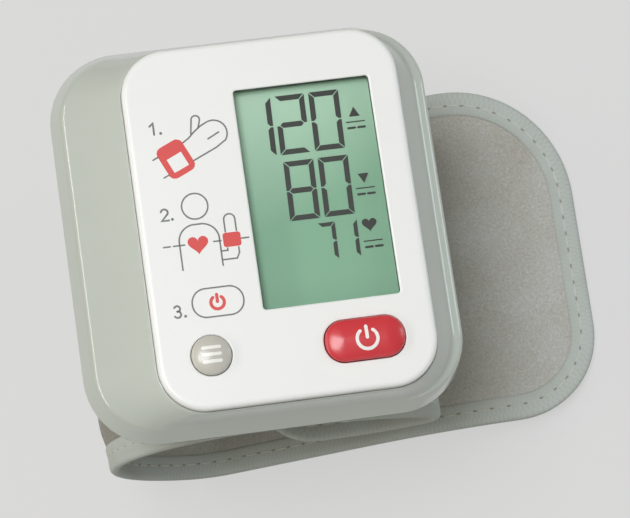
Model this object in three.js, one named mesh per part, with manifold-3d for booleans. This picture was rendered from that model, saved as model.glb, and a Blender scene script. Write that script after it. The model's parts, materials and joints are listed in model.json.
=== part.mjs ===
// Wrist blood pressure monitor: a display unit on a sprung cuff, lying on the cuff with its display up.
// Millimetres. Pieces are laid out in the unit's frame: x to the right of the display, y up the display,
// z out of the display, origin at the middle of the front panel's face. The whole is then turned about y
// until the cuff lies on the ground, and moved so that the ground is z = 0.
import * as THREE from 'three';
import { mergeVertices } from 'three/addons/utils/BufferGeometryUtils.js';
import Module from 'manifold-3d';

const wasm = await Module();
wasm.setup();

// Clearances
const FIT = 0.3;
const LAYER_GAP = 0.25;

// Front panel
const PANEL_WIDTH = 50.2;
const PANEL_CORNER = 8.5;
const PANEL_THICKNESS = 1.6;
const PANEL_EDGE = 0.9;
const PANEL_OVERHANG = 0.5;

// Housing
const WALL = 1.6;
const DECK_THICKNESS = 2.0;
const RIM_DEPTH = 12;
const RIM_CORNER = 13;
const RIM_RUN_RIGHT = 6;
const RIM_RUN_END = 3.3;
const SHOULDER_DEPTH = 7.4;
const SHOULDER_INSET = 1.8;
const SHELL_RUN = 3.9;
const BACK_CORNER = 8;
const BACK_INSET_SIDE = 7;
const BACK_INSET_END = 4.4;
const BACK_ROUNDING = 1.2;
const WING_DROP = 5.6;
const TONGUE_INSET = 2.5;
const TONGUE_WALL = 1;
const TONGUE_HEIGHT = 1.5;

// Housing screws
const SCREW_RADIUS = 1.1;
const SCREW_LENGTH = 11;
const SCREW_HEAD_RADIUS = 2;
const SCREW_HEAD_HEIGHT = 1.6;
const SCREW_LEDGE = 4.7;
const SCREW_SPAN = 42;
const BOSS_RADIUS = 3.4;
const POST_RADIUS = 2.2;

// Display
const LCD_WIDTH = 24.7;
const LCD_HEIGHT = 40.5;
const LCD_X = 7.3;
const LCD_DROP = 9.1;
const LCD_CORNER = 0.6;
const LENS_MARGIN = 1.6;
const LENS_THICKNESS = 1;
const SIGHT_MARGIN = 0.6;
const GLASS_MARGIN = 1.3;
const GLASS_THICKNESS = 1.8;
const HOLDER_WALL = 0.8;
const HOLDER_LEDGE = 1.6;
const STRIP_WIDTH = 2.2;
const STRIP_HEIGHT = 2.7;
const STRIP_INSET = 3;

// Buttons
const POWER_X = 12.1;
const POWER_WIDTH = 14.4;
const POWER_HEIGHT = 7.9;
const POWER_CORNER = 3.6;
const BUTTON_DROP = 3.5;
const MEMORY_X = -15.35;
const MEMORY_LIFT = 0.5;
const MEMORY_DIAMETER = 7.5;
const BUTTON_SHOULDER = 0.5;
const DOME_RUN = 2.4;
const DOME_RISE = 1;
const SKIRT_DEPTH = 3.6;
const CORE_INSET = 0.9;
const EAR_REACH = 1.2;
const EAR_WIDTH = 4;
const EAR_THICKNESS = 0.9;
const STEM_RADIUS = 1.5;
const STEM_LENGTH = 1.4;

// Tactile switches under the buttons
const SWITCH_SIDE = 6;
const SWITCH_HEIGHT = 1.4;
const SWITCH_WELL = 1;
const PLUNGER_RADIUS = 1.3;
const PLUNGER_LENGTH = 1.1;

// Circuit board
const BOARD_THICKNESS = 1.2;
const BOARD_LEFT = -23;
const BOARD_RUN = 4;
const BOARD_CORNER = 9.5;
const CHIP_SIDE = 10;
const CHIP_HEIGHT = 1.6;
const CHIP_X = 18;
const CHIP_Y = 12;
const SENSOR_SIDE = 7;
const SENSOR_HEIGHT = 2.2;

// Pump, valve and air line
const MOTOR_RADIUS = 6;
const MOTOR_LENGTH = 20;
const PUMP_HEADROOM = 1.6;
const PUMP_HEAD_WIDTH = 12;
const PUMP_HEAD_LENGTH = 13.2;
const PUMP_CHAMBER_RADIUS = 4.6;
const PUMP_CHAMBER_DEPTH = 6.5;
const SHAFT_RADIUS = 0.8;
const SHAFT_SEAT = 8;
const ECCENTRIC_RADIUS = 2.4;
const ECCENTRIC_OFFSET = 1;
const ECCENTRIC_THICKNESS = 3;
const SHAFT_STICKOUT = 1.2;
const BARB_RADIUS = 1;
const BARB_LENGTH = 2;
const PASSAGE_RADIUS = 0.5;
const TUBE_WALL = 0.8;
const TUBE_SPAN = 5;
const MANIFOLD_WIDTH = 8;
const MANIFOLD_LENGTH = 6;
const MANIFOLD_TOP_GAP = 2.4;
const SLEEVE_BARB = 1;
const VALVE_X = 12.5;
const VALVE_Y = -24;
const VALVE_SIDE = 9;
const VALVE_LENGTH = 15;
const VALVE_CAP = 1.7;
const VALVE_BORE = 2.2;
const VALVE_BORE_DEPTH = 9;
const VALVE_STROKE = 0.8;

// Battery bay with two AAA cells side by side
const CELL_RADIUS = 5.25;
const CELL_LENGTH = 44.5;
const CELL_NUB_RADIUS = 1.9;
const CELL_NUB = 0.9;
const CELL_SPACE = 0.5;
const CELL_DROP = 1.65;
const SPRING_LENGTH = 3.4;
const SPRING_WIRE = 0.3;
const SPRING_BASE = 3.1;
const SPRING_TIP = 2.1;
const SPRING_TURNS = 2.5;
const CONTACT_THICKNESS = 0.4;
const CONTACT_HEIGHT = 7.5;
const RIB = 1.2;
const MOTOR_SPACE = 1;
const BAY_SIDE = 5.6;
const DOOR_LAP = 0.6;

// Cuff layers
const CLOTH = 0.95;
const CURL_PLATE = 0.6;
const BLADDER = 0.9;
const BINDING = 5;
const TAPER = 9;
const CUFF_MARGIN = 1.3;
const BLADDER_MARGIN = 1;
const TAIL_CORNER = 12;
const FLAP_CORNER = 16;
const PAD_LENGTH = 58;
const SPLIT_GAP = 0.8;

// Cuff line, from the short end round the wrist to the long end
const ARCH_X = -2.5;
const ARCH_RADIUS = 44;
const ARCH_TURN = 42;
const CURL_RADIUS = 5;
const CURL_TURN = 108;
const TAIL_RADIUS = 34;
const TAIL_TURN = 55;
const LOOP_RADIUS = 30.5;
const LOOP_TURN = 150;
const BASE_RADIUS = 9;
const BASE_TURN = 60;
const REACH_LENGTH = 32;
const FLAP_LENGTH = 47;
const FLAP_TURN = 38;
const FLAT_DEPTH = 0.5;

// Cuff fastening
const CUFF_SCREW_RADIUS = 1;
const CUFF_SCREW_HEAD = 2;
const CUFF_SCREW_HEAD_HEIGHT = 0.8;
const CUFF_BOSS_RADIUS = 2.5;
const CUFF_BOSS_HEIGHT = 3.5;
const NIPPLE_RADIUS = 1.8;
const NIPPLE_FLANGE = 3;
const NIPPLE_ENTRY = 3.5;
const SEAL_WIRE = 0.45;

// Facets
const LEAST_CORNER = 0.2;
const SNAP = 1e-9;
const CORNER_STEPS = 6;
const DOME_STEPS = 3;
const ARC_STEP = 9;
const SMALL_SIDES = 12;
const ROUND_SIDES = 24;
const TUBE_SIDES = 8;
const TUBE_STEPS = 12;
const WIRE_SIDES = 5;
const TURN_STEPS = 8;

// Heights through the unit, front to back
const deckTop = -PANEL_THICKNESS - FIT;
const deckBottom = deckTop - DECK_THICKNESS;
const glassTop = deckBottom - FIT;
const glassBottom = glassTop - GLASS_THICKNESS;
const boardTop = glassBottom - STRIP_HEIGHT - 2 * FIT;
const boardBottom = boardTop - BOARD_THICKNESS;
const rearTop = -RIM_DEPTH - FIT;
const pumpZ = boardBottom - PUMP_HEADROOM - MOTOR_RADIUS;
const floorTop = pumpZ - MOTOR_RADIUS - FIT;
const coreThickness = 2 * CLOTH + CURL_PLATE + BLADDER + 3 * LAYER_GAP;
const edgeThickness = 2 * CLOTH + LAYER_GAP;
const archZ = floorTop - WALL - FIT - coreThickness / 2;
const backZ = archZ - WING_DROP;

// Battery bay, which sets the unit's left side and its height
const bayHalf = (CELL_LENGTH + SPRING_LENGTH + 3 * FIT) / 2 + CONTACT_THICKNESS + FIT;
const bayRight = ARCH_X - MOTOR_RADIUS - MOTOR_SPACE - RIB;
const innerCellX = bayRight - FIT - CELL_RADIUS;
const outerCellX = innerCellX - 2 * CELL_RADIUS - CELL_SPACE;
const cellZ = rearTop - CELL_DROP - CELL_RADIUS;
const bayFloor = cellZ - CELL_RADIUS - FIT;
const screwY = bayHalf + RIB / 2 + BOSS_RADIUS;

// Outlines of the unit, as frames with round corners
const frame = (x0, x1, y0, y1, corner) => ({ x0, x1, y0, y1, corner });
const frameAt = (x, y, width, height, corner) =>
  frame(x - width / 2, x + width / 2, y - height / 2, y + height / 2, corner);
const shrink = ({ x0, x1, y0, y1, corner }, by) =>
  frame(x0 + by, x1 - by, y0 + by, y1 - by, Math.max(corner - by, LEAST_CORNER));

const bodyHalf = screwY + BOSS_RADIUS + SHELL_RUN;
const panelHalf = bodyHalf - RIM_RUN_END;
const panelFrame = frameAt(0, 0, PANEL_WIDTH, 2 * panelHalf, PANEL_CORNER);
const bodyLeft = outerCellX - CELL_RADIUS - BAY_SIDE;
const bodyRight = PANEL_WIDTH / 2 + RIM_RUN_RIGHT;
const bodyMiddle = (bodyLeft + bodyRight) / 2;
const bodyFrame = frame(bodyLeft, bodyRight, -bodyHalf, bodyHalf, RIM_CORNER);
const backFrame = frame(
  bodyLeft + BACK_INSET_SIDE,
  bodyRight - BACK_INSET_SIDE,
  BACK_INSET_END - bodyHalf,
  bodyHalf - BACK_INSET_END,
  BACK_CORNER,
);
const lcdY = panelHalf - LCD_DROP - LCD_HEIGHT / 2;
const lcdFrame = frameAt(LCD_X, lcdY, LCD_WIDTH, LCD_HEIGHT, LCD_CORNER);
const powerY = lcdFrame.y0 - BUTTON_DROP - POWER_HEIGHT / 2;
const memoryY = powerY + MEMORY_LIFT;
const powerFrame = frameAt(POWER_X, powerY, POWER_WIDTH, POWER_HEIGHT, POWER_CORNER);
const memoryFrame = frameAt(MEMORY_X, memoryY, MEMORY_DIAMETER, MEMORY_DIAMETER, MEMORY_DIAMETER / 2);

// Pump line along y above the arch of the back
const lineLength = MOTOR_LENGTH + FIT + PUMP_HEAD_LENGTH + TUBE_SPAN + MANIFOLD_LENGTH;
const motorStart = -lineLength / 2;
const headStart = motorStart + MOTOR_LENGTH + FIT;
const headEnd = headStart + PUMP_HEAD_LENGTH;
const manifoldStart = headEnd + TUBE_SPAN;
const manifoldY = manifoldStart + MANIFOLD_LENGTH / 2;
const manifoldTop = boardBottom - FIT - SENSOR_HEIGHT - MANIFOLD_TOP_GAP - FIT;
const manifoldBottom = floorTop + FIT;
const cuffScrewY = lineLength / 2 + CUFF_BOSS_RADIUS + MOTOR_SPACE;
const tubeInner = BARB_RADIUS + FIT;
const tubeOuter = tubeInner + TUBE_WALL;
const cuffHalf = cuffScrewY + CUFF_SCREW_HEAD + CUFF_MARGIN + BINDING;

// Points and meshes
const rad = THREE.MathUtils.degToRad;
const at = (x, y, z) => new THREE.Vector3(x, y, z);

function outline({ x0, x1, y0, y1, corner }) {
  const centres = [[x1, y1, 0], [x0, y1, 90], [x0, y0, 180], [x1, y0, 270]];
  return centres.flatMap(([x, y, start]) => {
    const middleX = x - Math.sign(x - (x0 + x1) / 2) * corner;
    const middleY = y - Math.sign(y - (y0 + y1) / 2) * corner;
    return Array.from({ length: CORNER_STEPS + 1 }, (_, step) => {
      const angle = rad(start + (90 * step) / CORNER_STEPS);
      return new THREE.Vector2(middleX + corner * Math.cos(angle), middleY + corner * Math.sin(angle));
    });
  });
}

function solid(geometry) {
  const bare = geometry.clone();
  bare.deleteAttribute('normal');
  bare.deleteAttribute('uv');
  const merged = mergeVertices(bare);
  return new wasm.Manifold(new wasm.Mesh({
    numProp: 3,
    vertProperties: new Float32Array(merged.attributes.position.array),
    triVerts: new Uint32Array(merged.index.array),
  }));
}

function geometryOf(body) {
  const { vertProperties, triVerts } = body.getMesh();
  const geometry = new THREE.BufferGeometry();
  geometry.setAttribute('position', new THREE.BufferAttribute(new Float32Array(vertProperties), 3));
  geometry.setIndex(new THREE.BufferAttribute(new Uint32Array(triVerts), 1));
  geometry.computeVertexNormals();
  return geometry;
}

// A closed skin over equal rings of points, with its ends closed by the given triangles
function skin(rings, caps) {
  const count = rings[0].length;
  const points = rings.flat();
  const triangles = [];
  for (let start = 0; start + count < points.length; start += count) {
    for (let i = 0; i < count; i += 1) {
      const a = start + i;
      const b = start + ((i + 1) % count);
      triangles.push([a, b, b + count], [a, b + count, a + count]);
    }
  }
  const last = points.length - count;
  caps.forEach(([a, b, c]) => triangles.push([c, b, a], [last + a, last + b, last + c]));
  const volume = triangles.reduce(
    (sum, [a, b, c]) => sum + points[a].dot(at(0, 0, 0).crossVectors(points[b], points[c])),
    0,
  );
  const index = triangles.flatMap(([a, b, c]) => (volume < 0 ? [a, c, b] : [a, b, c]));
  const geometry = new THREE.BufferGeometry().setFromPoints(points);
  geometry.setIndex(index);
  return solid(geometry);
}

const fan = (count) => Array.from({ length: count - 2 }, (_, i) => [0, i + 1, i + 2]);

function loft(levels) {
  const rings = levels.map(([shape, z]) => outline(shape).map((p) => at(p.x, p.y, z)));
  return skin(rings, fan(rings[0].length));
}

// A plate whose upper edge rounds over by a quarter ellipse
function domedPlate(shape, bottom, shoulder, run, rise) {
  const levels = [[shape, bottom]];
  for (let step = 0; step <= DOME_STEPS; step += 1) {
    const angle = rad((90 * step) / DOME_STEPS);
    levels.push([shrink(shape, run * (1 - Math.cos(angle))), shoulder + rise * Math.sin(angle)]);
  }
  return loft(levels);
}

const plate = (shape, bottom, top) => loft([[shape, bottom], [shape, top]]);

function block(x0, x1, y0, y1, z0, z1) {
  const box = new THREE.BoxGeometry(x1 - x0, y1 - y0, z1 - z0);
  return solid(box.translate((x0 + x1) / 2, (y0 + y1) / 2, (z0 + z1) / 2));
}

function rod(radius, start, end, sides = SMALL_SIDES) {
  const run = end.clone().sub(start);
  const cylinder = new THREE.CylinderGeometry(radius, radius, run.length(), sides);
  const turn = new THREE.Quaternion().setFromUnitVectors(at(0, 1, 0), run.clone().normalize());
  const middle = start.clone().addScaledVector(run, 0.5);
  return solid(cylinder.applyQuaternion(turn).translate(middle.x, middle.y, middle.z));
}

// A prism along y over a shape given in x and z
function prism(points, y0, y1) {
  const rings = [y0, y1].map((y) => points.map((p) => at(p.x, y, p.y)));
  return skin(rings, THREE.ShapeUtils.triangulateShape(points, []));
}

function circle(radius, sides) {
  return Array.from({ length: sides }, (_, side) => {
    const angle = (2 * Math.PI * side) / sides;
    return new THREE.Vector2(radius * Math.cos(angle), radius * Math.sin(angle));
  });
}

function hose(curve) {
  const section = new THREE.Shape(circle(tubeOuter, TUBE_SIDES));
  section.holes.push(new THREE.Path(circle(tubeInner, TUBE_SIDES)));
  return solid(new THREE.ExtrudeGeometry(section, { steps: TUBE_STEPS, extrudePath: curve }));
}

const joined = (bodies) => bodies.reduce((sum, body) => sum.add(body));
const cutBy = (body, tools) => tools.reduce((rest, tool) => rest.subtract(tool), body);

// Cuff line: stretches of constant curvature walked both ways from the top of the arch
function walk(stretches) {
  let length = 0;
  let place = { x: ARCH_X, z: archZ, heading: Math.PI };
  return stretches.map((stretch) => {
    const piece = { ...stretch, ...place, from: length };
    place = along(piece, stretch.length);
    length += stretch.length;
    return piece;
  });
}

function along({ x, z, heading, length, turn }, distance) {
  const angle = (turn * distance) / length;
  if (turn === 0) {
    return { x: x + distance * Math.cos(heading), z: z + distance * Math.sin(heading), heading };
  }
  const radius = length / turn;
  return {
    x: x + radius * (Math.sin(heading + angle) - Math.sin(heading)),
    z: z - radius * (Math.cos(heading + angle) - Math.cos(heading)),
    heading: heading + angle,
  };
}

const arc = (radius, degrees) => ({ length: radius * rad(degrees), turn: rad(degrees) });
const forward = walk([
  arc(LOOP_RADIUS, LOOP_TURN),
  arc(BASE_RADIUS, BASE_TURN),
  { length: REACH_LENGTH, turn: 0 },
  { length: FLAP_LENGTH, turn: -rad(FLAP_TURN) },
]);
const mirrored = walk([
  arc(ARCH_RADIUS, ARCH_TURN),
  arc(CURL_RADIUS, CURL_TURN),
  arc(TAIL_RADIUS, TAIL_TURN),
]);
const endOf = (pieces) => pieces.at(-1).from + pieces.at(-1).length;
const tailEnd = -endOf(mirrored);
const flapEnd = endOf(forward);
const splitAt = LOOP_RADIUS * rad(90);
const coreStart = -mirrored[1].from - TAPER / 2;
const coreEnd = forward[1].from - TAPER;
const padStart = flapEnd - PAD_LENGTH;

// Place on the cuff line at a distance from the arch's top, with the normal that points into the loop
function cuffPlace(distance) {
  const pieces = distance < 0 ? mirrored : forward;
  const way = Math.abs(distance);
  const piece = pieces.findLast(({ from }) => from <= way + SNAP);
  const { x, z, heading } = along(piece, way - piece.from);
  const normal = { x: -Math.sin(heading), z: Math.cos(heading) };
  return distance < 0 ? { x: 2 * ARCH_X - x, z, normal: { x: -normal.x, z: normal.z } } : { x, z, normal };
}

function cuffPoint(distance, y, height) {
  const { x, z, normal } = cuffPlace(distance);
  return at(x + height * normal.x, y, z + height * normal.z);
}

function halfThickness(distance) {
  const share = Math.min((distance - coreStart) / TAPER, (coreEnd - distance) / TAPER);
  const eased = THREE.MathUtils.smoothstep(share, 0, 1);
  return (edgeThickness + (coreThickness - edgeThickness) * eased) / 2;
}

// Half of the cuff's width, drawn in at the round ends, for an edge set in from the outline
function halfWidth(distance, inset) {
  const ends = [[distance - tailEnd, TAIL_CORNER], [flapEnd - distance, FLAP_CORNER]];
  const drawn = ends.map(([left, corner]) => {
    const radius = corner - inset;
    const short = Math.max(radius - (left - inset), 0);
    return radius - Math.sqrt(Math.max(radius * radius - short * short, 0));
  });
  return cuffHalf - inset - Math.max(...drawn);
}

function stations(from, to, inset = 0) {
  const marks = [from, to];
  const signed = [...mirrored.map((p) => [p, -1]), ...forward.map((p) => [p, 1])];
  signed.forEach(([piece, side]) => {
    const steps = Math.max(1, Math.ceil(Math.abs(piece.turn) / rad(ARC_STEP)));
    for (let step = 0; step <= steps; step += 1) {
      marks.push(side * (piece.from + (piece.length * step) / steps));
    }
  });
  for (let step = 0; step <= CORNER_STEPS; step += 1) {
    const share = 1 - Math.cos(rad((90 * step) / CORNER_STEPS));
    marks.push(tailEnd + inset + (TAIL_CORNER - inset) * share);
    marks.push(flapEnd - inset - (FLAP_CORNER - inset) * share);
    marks.push(coreStart + (TAPER * step) / CORNER_STEPS, coreEnd - (TAPER * step) / CORNER_STEPS);
  }
  const inside = marks.filter((mark) => mark > from + FIT && mark < to - FIT).sort((a, b) => a - b);
  const spaced = inside.filter((mark, i) => i === 0 || mark - inside[i - 1] > FIT);
  return [from, ...spaced, to];
}

function cuffLayer(from, to, inset, low, high) {
  const rings = stations(from, to, inset).map((distance) => {
    const wide = halfWidth(distance, inset);
    const corners = [[-wide, low], [wide, low], [wide, high], [-wide, high]];
    return corners.map(([y, height]) => cuffPoint(distance, y, height(halfThickness(distance))));
  });
  return skin(rings, fan(4));
}

const outerLow = (half) => -half;
const outerHigh = (half) => -half + CLOTH;
const plateLow = (half) => outerHigh(half) + LAYER_GAP;
const plateHigh = (half) => plateLow(half) + CURL_PLATE;
const innerLow = (half) => half - CLOTH;
const innerHigh = (half) => half;
const bladderHigh = (half) => innerLow(half) - LAYER_GAP;
const bladderLow = (half) => bladderHigh(half) - BLADDER;

// The folded tape round a stretch's free edges: along one side, round the end and back
function binding(split, end, corner) {
  const toEnd = Math.sign(end - split);
  const bend = end - toEnd * corner;
  const sides = stations(Math.min(split, bend), Math.max(split, bend));
  const outward = toEnd > 0 ? sides : sides.reverse();
  const edge = outward.slice(0, -1).map((distance) => ({ centre: distance, angle: 0 }));
  for (let step = 0; step <= CORNER_STEPS; step += 1) {
    edge.push({ centre: bend, angle: rad((90 * step) / CORNER_STEPS) });
  }
  const ring = ({ centre, angle }, side) => {
    const place = (inset) => {
      const radius = corner - inset;
      const distance = centre + toEnd * radius * Math.sin(angle);
      return [distance, side * (cuffHalf - corner + radius * Math.cos(angle)), halfThickness(distance)];
    };
    const [outer, inner] = [place(0), place(BINDING)];
    return [[outer, -1], [outer, 1], [inner, 1], [inner, -1]].map(
      ([[distance, y, half], sign]) => cuffPoint(distance, y, sign * half),
    );
  };
  const there = edge.map((mark) => ring(mark, -1));
  const back = edge.map((mark) => ring(mark, 1)).reverse();
  return skin([...there, ...back], fan(4));
}

// Rest: the ground touches the base bend and the end of the long end
const baseCentre = cuffPoint(forward[1].from, 0, BASE_RADIUS);
const flapTip = cuffPoint(flapEnd, 0, -halfThickness(flapEnd));
const groundReach = BASE_RADIUS + edgeThickness / 2 - FLAT_DEPTH;
const tipRun = Math.hypot(flapTip.x - baseCentre.x, flapTip.z - baseCentre.z);
const tipRise = Math.atan2(flapTip.z - baseCentre.z, flapTip.x - baseCentre.x);
const restTilt = tipRise + Math.asin(groundReach / tipRun);

function ground() {
  const depth = BASE_RADIUS;
  const span = flapEnd - tailEnd;
  const slab = new THREE.BoxGeometry(span, span, depth);
  const drop = groundReach + depth / 2;
  const x = baseCentre.x + drop * Math.sin(restTilt);
  const z = baseCentre.z - drop * Math.cos(restTilt);
  return solid(slab.rotateY(-restTilt).translate(x, 0, z)).intersect(
    block(-span, baseCentre.x + BASE_RADIUS, -span, span, -span, span),
  );
}

// Front of the unit
function frontPanel() {
  const body = domedPlate(panelFrame, -PANEL_THICKNESS, -PANEL_EDGE, PANEL_EDGE, PANEL_EDGE);
  const holes = [lcdFrame, shrink(powerFrame, -FIT), shrink(memoryFrame, -FIT)];
  return cutBy(body, holes.map((hole) => plate(hole, -2 * PANEL_THICKNESS, PANEL_THICKNESS)));
}

const lensFrame = shrink(lcdFrame, -LENS_MARGIN);
const glassFrame = shrink(lcdFrame, -GLASS_MARGIN);
const displayWindow = () => plate(lensFrame, deckTop - LENS_THICKNESS, deckTop);

const postColumns = [bodyMiddle - SCREW_SPAN / 2, bodyMiddle + SCREW_SPAN / 2];
const postPlaces = postColumns.flatMap((x) => [[x, -screwY], [x, screwY]]);
const screwSeat = rearTop - SCREW_LEDGE - FIT;
const screwTip = screwSeat + SCREW_LENGTH;

function upperHousing() {
  const lip = shrink(panelFrame, PANEL_OVERHANG);
  const outer = loft([
    [bodyFrame, -RIM_DEPTH],
    [shrink(bodyFrame, SHOULDER_INSET), -SHOULDER_DEPTH],
    [lip, deckTop],
  ]);
  const inner = loft([
    [shrink(bodyFrame, WALL), -RIM_DEPTH - WALL],
    [shrink(bodyFrame, WALL), -RIM_DEPTH],
    [shrink(bodyFrame, SHOULDER_INSET + WALL), -SHOULDER_DEPTH - WALL / 2],
    [shrink(lip, WALL), deckBottom],
  ]);
  const posts = postPlaces.map(([x, y]) => rod(POST_RADIUS, at(x, y, -RIM_DEPTH), at(x, y, deckTop)));
  const shell = outer.subtract(inner).add(joined(posts).intersect(outer));
  const pilots = postPlaces.map(([x, y]) =>
    rod(SCREW_RADIUS + FIT, at(x, y, -RIM_DEPTH - WALL), at(x, y, screwTip + FIT)));
  const pocket = plate(shrink(lensFrame, -FIT), deckTop - LENS_THICKNESS - FIT, 0);
  const openings = [shrink(lcdFrame, -SIGHT_MARGIN), shrink(powerFrame, -FIT), shrink(memoryFrame, -FIT)];
  const holes = openings.map((hole) => plate(hole, deckBottom - WALL, 0));
  return cutBy(shell, [...pilots, pocket, ...holes]);
}

// Display stack
const lcdGlass = () => plate(glassFrame, glassBottom, glassTop);

function lcdHolder() {
  const pocket = shrink(glassFrame, -FIT);
  const body = plate(shrink(pocket, -HOLDER_WALL), boardTop + FIT, glassTop);
  return cutBy(body, [
    plate(pocket, glassBottom - FIT, 0),
    plate(shrink(glassFrame, HOLDER_LEDGE), boardTop - FIT, 0),
  ]);
}

function elastomerStrip(side) {
  const sight = shrink(glassFrame, HOLDER_LEDGE + FIT);
  const end = side < 0 ? sight.y0 : sight.y1 - STRIP_WIDTH;
  return block(sight.x0 + STRIP_INSET, sight.x1 - STRIP_INSET, end, end + STRIP_WIDTH,
    boardTop + FIT, glassBottom - FIT);
}

// Buttons with ears under the deck and a stem towards the switch
const earTop = deckBottom - FIT;
const earBottom = earTop - EAR_THICKNESS;
const stemBottom = earBottom - STEM_LENGTH;

function button(shape) {
  const x = (shape.x0 + shape.x1) / 2;
  const y = (shape.y0 + shape.y1) / 2;
  return joined([
    domedPlate(shape, -SKIRT_DEPTH, BUTTON_SHOULDER, DOME_RUN, DOME_RISE),
    plate(shrink(shape, CORE_INSET), earBottom, -SKIRT_DEPTH + FIT),
    block(shape.x0 - EAR_REACH, shape.x1 + EAR_REACH, y - EAR_WIDTH / 2, y + EAR_WIDTH / 2,
      earBottom, earTop),
    rod(STEM_RADIUS, at(x, y, stemBottom), at(x, y, earTop)),
  ]);
}

const switchTop = boardTop + FIT + SWITCH_HEIGHT;
const plungerTop = stemBottom - FIT;

function switchBase(x, y) {
  const half = SWITCH_SIDE / 2;
  const body = block(x - half, x + half, y - half, y + half, boardTop + FIT, switchTop);
  return body.subtract(rod(PLUNGER_RADIUS + FIT, at(x, y, switchTop - SWITCH_WELL), at(x, y, 0)));
}

const switchPlunger = (x, y) =>
  rod(PLUNGER_RADIUS, at(x, y, plungerTop - PLUNGER_LENGTH), at(x, y, plungerTop));

// Circuit board and what is on it
function mainBoard() {
  const body = plate(
    frame(BOARD_LEFT, bodyRight - BOARD_RUN, BOARD_RUN - bodyHalf, bodyHalf - BOARD_RUN, BOARD_CORNER),
    boardBottom,
    boardTop,
  );
  return cutBy(body, postPlaces.map(([x, y]) => rod(POST_RADIUS + FIT, at(x, y, -RIM_DEPTH), at(x, y, 0))));
}

function microcontroller() {
  const half = CHIP_SIDE / 2;
  const top = boardBottom - FIT;
  return block(CHIP_X - half, CHIP_X + half, CHIP_Y - half, CHIP_Y + half, top - CHIP_HEIGHT, top);
}

const sensorBottom = boardBottom - FIT - SENSOR_HEIGHT;
const portAt = (z) => at(ARCH_X, manifoldY, z);

function pressureSensor() {
  const half = SENSOR_SIDE / 2;
  const body = block(ARCH_X - half, ARCH_X + half, manifoldY - half, manifoldY + half,
    sensorBottom, boardBottom - FIT);
  return body.add(rod(BARB_RADIUS, portAt(sensorBottom - SLEEVE_BARB), portAt(sensorBottom + FIT)));
}

// Pump
const pumpAt = (y) => at(ARCH_X, y, pumpZ);

function pumpMotor() {
  const can = rod(MOTOR_RADIUS, pumpAt(motorStart), pumpAt(headStart - FIT), ROUND_SIDES);
  return can.subtract(rod(SHAFT_RADIUS + FIT, pumpAt(headStart - FIT - SHAFT_SEAT), pumpAt(headEnd)));
}

function pumpShaft() {
  const start = headStart + SHAFT_STICKOUT;
  const end = start + ECCENTRIC_THICKNESS;
  const offset = at(0, 0, ECCENTRIC_OFFSET);
  return joined([
    rod(SHAFT_RADIUS, pumpAt(headStart - SHAFT_SEAT), pumpAt(end)),
    rod(ECCENTRIC_RADIUS, pumpAt(start).add(offset), pumpAt(end).add(offset)),
  ]);
}

function pumpHead() {
  const half = PUMP_HEAD_WIDTH / 2;
  const body = block(ARCH_X - half, ARCH_X + half, headStart, headEnd, pumpZ - half, pumpZ + half);
  const chamberEnd = pumpAt(headStart + PUMP_CHAMBER_DEPTH);
  const chamber = rod(PUMP_CHAMBER_RADIUS, pumpAt(headStart - FIT), chamberEnd, ROUND_SIDES);
  const barb = rod(BARB_RADIUS, pumpAt(headEnd - FIT), pumpAt(headEnd + BARB_LENGTH));
  const passage = rod(PASSAGE_RADIUS, pumpAt(headStart), pumpAt(headEnd + 2 * BARB_LENGTH));
  return body.subtract(chamber).add(barb).subtract(passage);
}

// Air line
const pumpTube = () =>
  hose(new THREE.LineCurve3(pumpAt(headEnd + FIT), pumpAt(manifoldStart - FIT)));

function airManifold() {
  const half = MANIFOLD_WIDTH / 2;
  const body = block(ARCH_X - half, ARCH_X + half, manifoldStart, manifoldStart + MANIFOLD_LENGTH,
    manifoldBottom, manifoldTop);
  const centre = pumpAt(manifoldY);
  const ports = [
    pumpAt(manifoldStart - BARB_LENGTH),
    at(ARCH_X + half + BARB_LENGTH, manifoldY, pumpZ),
    portAt(manifoldTop + SLEEVE_BARB),
  ];
  const drills = ports.map((port) => {
    const past = port.clone().sub(centre).setLength(port.distanceTo(centre) + FIT);
    return rod(PASSAGE_RADIUS, centre, centre.clone().add(past));
  });
  const foot = portAt(manifoldBottom - FIT);
  const socket = rod(NIPPLE_RADIUS + FIT, foot, portAt(manifoldBottom + NIPPLE_ENTRY + FIT));
  const groove = rod(sealRadius + SEAL_WIRE + FIT, foot, portAt(manifoldBottom + sealLift));
  const drop = rod(PASSAGE_RADIUS, foot, centre);
  const barbs = ports.map((port) => rod(BARB_RADIUS, centre, port));
  return cutBy(joined([body, ...barbs]), [...drills, socket, groove, drop]);
}

const sealRadius = NIPPLE_RADIUS + FIT + SEAL_WIRE;
const sealLift = 2 * SEAL_WIRE + 2 * FIT;

const sensorSleeve = () =>
  hose(new THREE.LineCurve3(portAt(sensorBottom - FIT), portAt(manifoldTop + FIT)));

// Exhaust valve under the board
const valveTop = boardBottom - FIT;
const valveZ = valveTop - VALVE_SIDE / 2;
const valveEnd = VALVE_Y + VALVE_LENGTH;
const valveAt = (y) => at(VALVE_X, y, valveZ);

function valveBody() {
  const half = VALVE_SIDE / 2;
  const body = block(VALVE_X - half, VALVE_X + half, VALVE_Y, valveEnd, valveTop - VALVE_SIDE, valveTop);
  return body.subtract(rod(VALVE_BORE, valveAt(valveEnd - VALVE_BORE_DEPTH), valveAt(valveEnd + FIT)));
}

const valvePlunger = () =>
  rod(VALVE_BORE - FIT, valveAt(valveEnd - VALVE_BORE_DEPTH + FIT + VALVE_STROKE), valveAt(valveEnd));

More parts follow.
